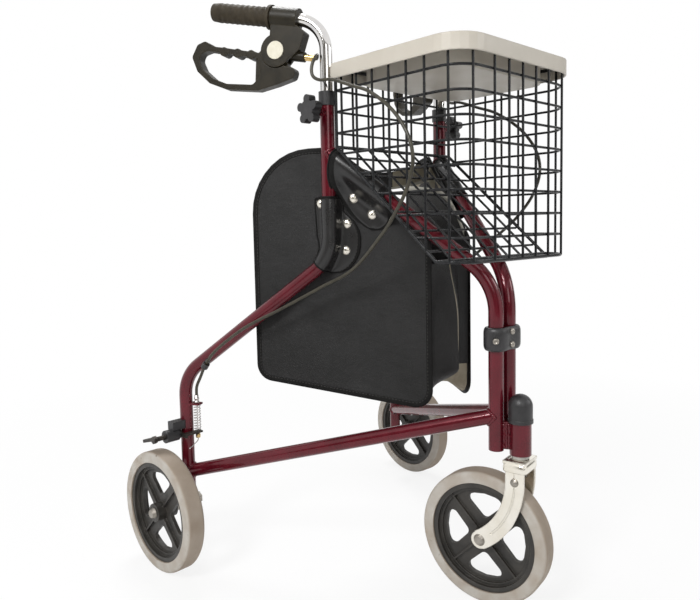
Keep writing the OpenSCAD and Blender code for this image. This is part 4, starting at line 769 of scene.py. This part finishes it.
# Moulded band round both front tubes, drawn in between them, with three screws
BAND = [(11.8, 384.9), (13.2, 384.5), (15.2, 385.2), (16.8, 387.3), (17.7, 390.5), (17.9, 394), (17.9, 409.5),
        (17.7, 413), (16.8, 416.2), (15.2, 418.3), (13.2, 419), (11.8, 418.6)]
BAND_PINCH, BAND_TURN_STEPS, BAND_FLAT_STEPS = 1.6, 25, 13
BUTTON = [(4.8, -0.6), (4.8, 0.7), (4.3, 1.8), (3.2, 2.5), (2.0, 2.7), (1.8, 1.4), (0.2, 1.3)]
# Each screw's place (across, back from the hinge, up) and the way that it faces
SCREWS = [((-HINGE_X - 14.6, -9.9, 400.5), (-0.83, -0.56, 0)), ((1.5, -16.2, 412), (0, -1, 0)),
          ((1.5, -16.2, 393), (0, -1, 0))]


def band_ring(r):
    """Points round both front tubes at a distance r from their axes, drawn in between them."""
    ring = []
    for sign in (-1, 1):
        first = 0.5 * math.pi if sign < 0 else 1.5 * math.pi
        turns = np.linspace(first, first + math.pi, BAND_TURN_STEPS)
        ring += [(sign * HINGE_X + r * math.cos(a), r * math.sin(a)) for a in turns]
        for x in np.linspace(-HINGE_X, HINGE_X, BAND_FLAT_STEPS)[1:-1]:
            pinch = BAND_PINCH * math.cos(0.5 * math.pi * x / HINGE_X) ** 2
            ring.append((-sign * x, sign * (r - pinch)))
    return ring


verts = [Vector((x, HINGE_Y + y, z)) * MM for r, z in BAND for x, y in band_ring(r)]
count = len(verts) // len(BAND)
last = len(verts) - count
faces = grid_faces(len(BAND), count, True)
faces += [(last + j, last + (j + 1) % count, (j + 1) % count, j) for j in range(count)]
band = piece("hinge_band", verts, faces, FINISH["black_plastic"], "left_frame", "black_plastic", closed=True)
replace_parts(band, "hinge_clamp")
screws = []
for (x, y, z), out in SCREWS:
    screws.append(lathe(BUTTON, facing(Vector((x, HINGE_Y + y, z)) * MM, Vector(out)), sides=20))
piece("hinge_screws", *joined(screws), FINISH["axle_steel"], "left_frame", "axle_steel", closed=True)

# Rounded crown on the caster's fork, with a rivet on each blade
SWIVEL = math.radians(10)
ACROSS_FORK = Vector((math.cos(SWIVEL), math.sin(SWIVEL), 0))
ALONG_FORK = Vector((-ACROSS_FORK.y, ACROSS_FORK.x, 0))
HEAD_AHEAD, RIVET_Z, RIVET_FROM = 31, 199, 120
HEAD_Y = HINGE_Y - HEAD_AHEAD
CROWN_ACROSS, CROWN_ALONG, CROWN_SHIFT, CROWN_SQUARE, CROWN_SIDES = 24.6, 18.4, 1, 0.34, 64
# Height and inset of the crown's rings
CROWN = [(212.8, 9), (212.8, 3), (213.1, 1.2), (214.2, 0.2), (216, 0), (220.5, 0), (223, 0.4), (225.4, 1.4),
         (227.4, 3), (228.8, 5), (229.6, 7.4), (229.8, 11)]
RIVET = [(6.0, -1.5), (6.0, 0.8), (5.4, 1.6), (4.4, 1.9), (4.0, 2.6), (3.0, 3.4), (1.6, 3.8), (0.2, 3.9)]


def crown_point(z, inset, a):
    """On the crown's squared ring at a height, with an inset, at an angle."""
    across, along = (abs(f(a)) ** CROWN_SQUARE * math.copysign(1, f(a)) for f in (math.cos, math.sin))
    place = Vector((0, HEAD_Y, z)) + ACROSS_FORK * across * (CROWN_ACROSS - inset)
    return (place + ALONG_FORK * (CROWN_SHIFT + along * (CROWN_ALONG - inset))) * MM


turns = np.linspace(0, 2 * math.pi, CROWN_SIDES, endpoint=False)
verts = [crown_point(z, inset, a) for z, inset in CROWN for a in turns]
faces = grid_faces(len(CROWN), CROWN_SIDES, True)
faces += [tuple(range(CROWN_SIDES - 1, -1, -1)), tuple(range(len(verts) - CROWN_SIDES, len(verts)))]
piece("fork_crown", verts, faces, PAINTED_REFLECTION_CHROME, "caster", "chrome", closed=True)
rivets = []
for sign in (-1, 1):
    outside = Vector((0, HEAD_Y, RIVET_Z)) + ACROSS_FORK * RIVET_FROM * sign
    _, point, normal, _ = nodes["caster_fork"].ray_cast(outside * MM, -ACROSS_FORK * sign)
    rivets.append(lathe(RIVET, facing(point, normal), sides=20))
piece("fork_rivets", *joined(rivets), FINISH["axle_steel"], "caster", "axle_steel", closed=True)

# Cable ends at the brakes: ferrule on the stop, anchor in the arm, bare wire with a loose tail
STOP_X, STOP_Y, STOP_Z, ANCHOR_Z, WIRE_R = 250.2, 201.5, 273.2, 222, 0.8
FERRULE = [(2.4, 0), (4.6, 0), (4.6, 2.4), (3.6, 3), (3.6, 6), (4.2, 6.4), (4.2, 8.6), (3.5, 9.2), (3.5, 13),
           (2.4, 13.4)]
ANCHOR = [(0.3, -9), (3.6, -9), (4.0, -8.4), (4.0, -3), (3.2, -2.6), (3.2, 0.2), (0.3, 0.2)]
# Points of the wire (outward of the stop, back, up)
WIRE = [(0, STOP_Y, 269), (0, STOP_Y, 240), (0, STOP_Y, 214), (3, 198, 209), (13, 193, 206), (24, 189, 202)]
for side, name in SIDES:
    body, arm = name + "_frame", name + "_arm"
    x = -side * STOP_X
    ferrule = lathe(FERRULE, Matrix.Translation(Vector((x, STOP_Y, STOP_Z)) * MM), sides=16)
    piece(name + "_ferrule", *ferrule, FINISH["spring_steel"], body, "spring_steel", closed=True)
    anchor = lathe(ANCHOR, Matrix.Translation(Vector((x, STOP_Y, ANCHOR_Z)) * MM), sides=12)
    piece(name + "_cable_anchor", *anchor, FINISH["brass"], arm, "brass", closed=True)
    line = smooth_line([(x - side * outward, y, z) for outward, y, z in WIRE], steps=6)
    mesh = tube([Vector(p) * MM for p in line], WIRE_R * MM, sides=8)
    wire = piece(name + "_inner_wire", *mesh, FINISH["spring_steel"], None, "spring_steel", closed=True)
    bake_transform(wire)

# Brake cables along the route in part.scad, from barrel adjuster to stop, and their return springs.
CABLE_D, CABLE_HELD_Z, CABLE_RAISED_Z = 5.0, 480, 815
CABLE_ROUTE = [
    (269.9, 0, 822.5), (268.5, 0, 822.2), (267.1, 0, 821.9), (265, 3, 823), (263, 8.5, 825), (264, 14, 821),
    (267, 18, 811), (268, 20, 800), (264, 22, 790), (252, 25, 784), (232, 31, 782), (196.1, 49.2, 767),
    (163, 67.9, 752), (125.1, 90.4, 721), (100.8, 104.4, 685), (93.7, 108.1, 650), (104.3, 102.5, 614),
    (125.5, 89, 581), (148.7, 71, 554), (203.6, 34, 503.8), (260.1, 22, 475), (330, 20, 439.3),
    (394.6, 20, 407.5), (448.4, 19, 368.7), (471, 16, 342), (485, 10, 320), (497, 3, 302), (500, 0, 286),
    (500, 0, 273.3)]
for side, name in SIDES:
    body = name + "_frame"
    line = [at(*p, side) for p in smooth_line(CABLE_ROUTE, steps=6)]
    mesh = tube(line, 0.5 * CABLE_D * MM, sides=12)
    cable = piece(name + "_cable", *mesh, FINISH["cable_sheath"], None, "cable_sheath", closed=True)
    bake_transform(cable)
    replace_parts(cable, name + "_brake_cable")
    spring = bpy.data.objects.new(name + "_spring", nodes[name + "_brake_spring"].data.copy())
    scene.collection.objects.link(spring)
    low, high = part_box(name + "_brake_spring")
    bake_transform(spring)
    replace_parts(spring, name + "_brake_spring")

# Light, floor and camera
WORLD_LIGHT = 0.36
# Distances from the centre between which the floor brightens, and its brightness at both
FLOOR_FADE = (0.5, 1.6, 0.84, 1.0)
FLOOR = [(0.5, -0.2), (9000, -0.2), (9000, -0.3)]
FLOOR_SIDES, FLOOR_TONE = 48, (0.93, 0.93, 0.93, 1)
world = bpy.data.worlds.new("studio")
scene.world = world
world.use_nodes = True
tree = world.node_tree


def seen_directly(tree):
    """1 for rays from the camera, and for reflections and clear surfaces, else 0."""
    path = tree.nodes.new("ShaderNodeLightPath")
    total = path.outputs["Is Camera Ray"]
    for key in ("Is Glossy Ray", "Is Transmission Ray"):
        node = tree.nodes.new("ShaderNodeMath")
        node.operation = "MAXIMUM"
        tree.links.new(total, node.inputs[0])
        tree.links.new(path.outputs[key], node.inputs[1])
        total = node.outputs["Value"]
    return total


strength = tree.nodes.new("ShaderNodeMapRange")
strength.inputs["To Min"].default_value = WORLD_LIGHT
strength.inputs["To Max"].default_value = 1.0
tree.links.new(seen_directly(tree), strength.inputs["Value"])
tree.links.new(strength.outputs["Result"], tree.nodes["Background"].inputs["Strength"])
tree.nodes["Background"].inputs["Color"].default_value = (1, 1, 1, 1)

ground = bpy.data.materials.new("pale_floor")
ground.use_nodes = True
tree = ground.node_tree
tree.nodes.remove(tree.nodes["Principled BSDF"])
matt, glow, blend = (tree.nodes.new("ShaderNode" + k) for k in ("BsdfDiffuse", "Emission", "MixShader"))
matt.inputs["Color"].default_value = FLOOR_TONE
factor = tree.nodes.new("ShaderNodeMath")
factor.operation = "MULTIPLY"
distance = tree.nodes.new("ShaderNodeVectorMath")
distance.operation = "LENGTH"
tree.links.new(tree.nodes.new("ShaderNodeTexCoord").outputs["Object"], distance.inputs[0])
fade = tree.nodes.new("ShaderNodeMapRange")
for key, number in zip(MAP_RANGE, FLOOR_FADE):
    fade.inputs[key].default_value = number
tree.links.new(distance.outputs["Value"], fade.inputs["Value"])
tree.links.new(seen_directly(tree), factor.inputs[0])
tree.links.new(fade.outputs["Result"], factor.inputs[1])
tree.links.new(factor.outputs["Value"], blend.inputs["Fac"])
tree.links.new(matt.outputs["BSDF"], blend.inputs[1])
tree.links.new(glow.outputs["Emission"], blend.inputs[2])
tree.links.new(blend.outputs["Shader"], tree.nodes["Material Output"].inputs["Surface"])
verts, _ = lathe(FLOOR, Matrix.Identity(4), FLOOR_SIDES)
faces = grid_faces(len(FLOOR), FLOOR_SIDES, True) + [tuple(range(FLOOR_SIDES))]
floor = piece("floor", verts, faces, ground, None)


def lamp(name, place, aim, size, watts):
    """A square lamp at a place, turned towards another."""
    data = bpy.data.lights.new(name, "AREA")
    data.size, data.energy = size, watts
    obj = bpy.data.objects.new(name, data)
    scene.collection.objects.link(obj)
    obj.location = place
    obj.rotation_mode = "QUATERNION"
    obj.rotation_quaternion = (Vector(aim) - Vector(place)).to_track_quat("-Z", "Y")


lamp("key", (-2.3, -0.6, 2.2), (0, 0, 0.45), size=0.7, watts=48)
lamp("fill", (-1.2, -1.9, 1.2), (0, 0, 0.4), size=0.9, watts=7)
lamp("side", (1.6, -2.0, 1.5), (0, 0, 0.4), size=0.6, watts=9)
lamp("top", (0.4, 1.3, 2.9), (0, 0, 0.4), size=0.9, watts=36)

# The darker side of the room, seen in reflections only: walls between two angles in degrees
WALLS = (("room_front", 176, 272), ("room_back", 60, 84), ("room_side", 318, 340))
WALL_R, WALL_HEIGHTS, WALL_STEPS = 3.3, (-0.1, 2.3), 13
shade = finish("room", ((0.2, 0.19, 0.17), (0.26, 0.24, 0.21)), (0.9, 1.0), blotch=1.5)
for label, low, high in WALLS:
    turns = np.radians(np.linspace(low, high, WALL_STEPS))
    verts = [(WALL_R * math.cos(a), WALL_R * math.sin(a), z) for z in WALL_HEIGHTS for a in turns]
    wall = piece(label, verts, grid_faces(len(WALL_HEIGHTS), WALL_STEPS), shade, None)
    wall.visible_camera = wall.visible_diffuse = wall.visible_shadow = wall.visible_transmission = False

# The photograph's camera, with its image's size, focal length and centre in pixels
IMAGE_W, IMAGE_H, SENSOR = 700, 600, 36
FOCAL_PX, CENTRE_X_PX, CENTRE_Y_PX = 662.14, 350.80, 278.05
CAMERA_PLACE = (-0.8121, -0.7867, 0.5695)
yaw, pitch, roll = math.radians(46.86), math.radians(-4.61), math.radians(-1.13)
ahead = Vector((math.cos(yaw) * math.cos(pitch), math.sin(yaw) * math.cos(pitch), math.sin(pitch)))
right = ahead.cross(UP).normalized()
up = right.cross(ahead)
right, up = right * math.cos(roll) + up * math.sin(roll), up * math.cos(roll) - right * math.sin(roll)
camera = bpy.data.objects.new("camera", bpy.data.cameras.new("camera"))
scene.collection.objects.link(camera)
turn = Matrix((right, up, -ahead)).transposed().to_4x4()
camera.matrix_world = Matrix.Translation(CAMERA_PLACE) @ turn
camera.data.sensor_width = SENSOR
camera.data.lens = SENSOR * FOCAL_PX / IMAGE_W
camera.data.shift_x = (IMAGE_W / 2 - CENTRE_X_PX) / IMAGE_W
camera.data.shift_y = (CENTRE_Y_PX - IMAGE_H / 2) / IMAGE_W
scene.camera = camera

bpy.context.view_layer.update()
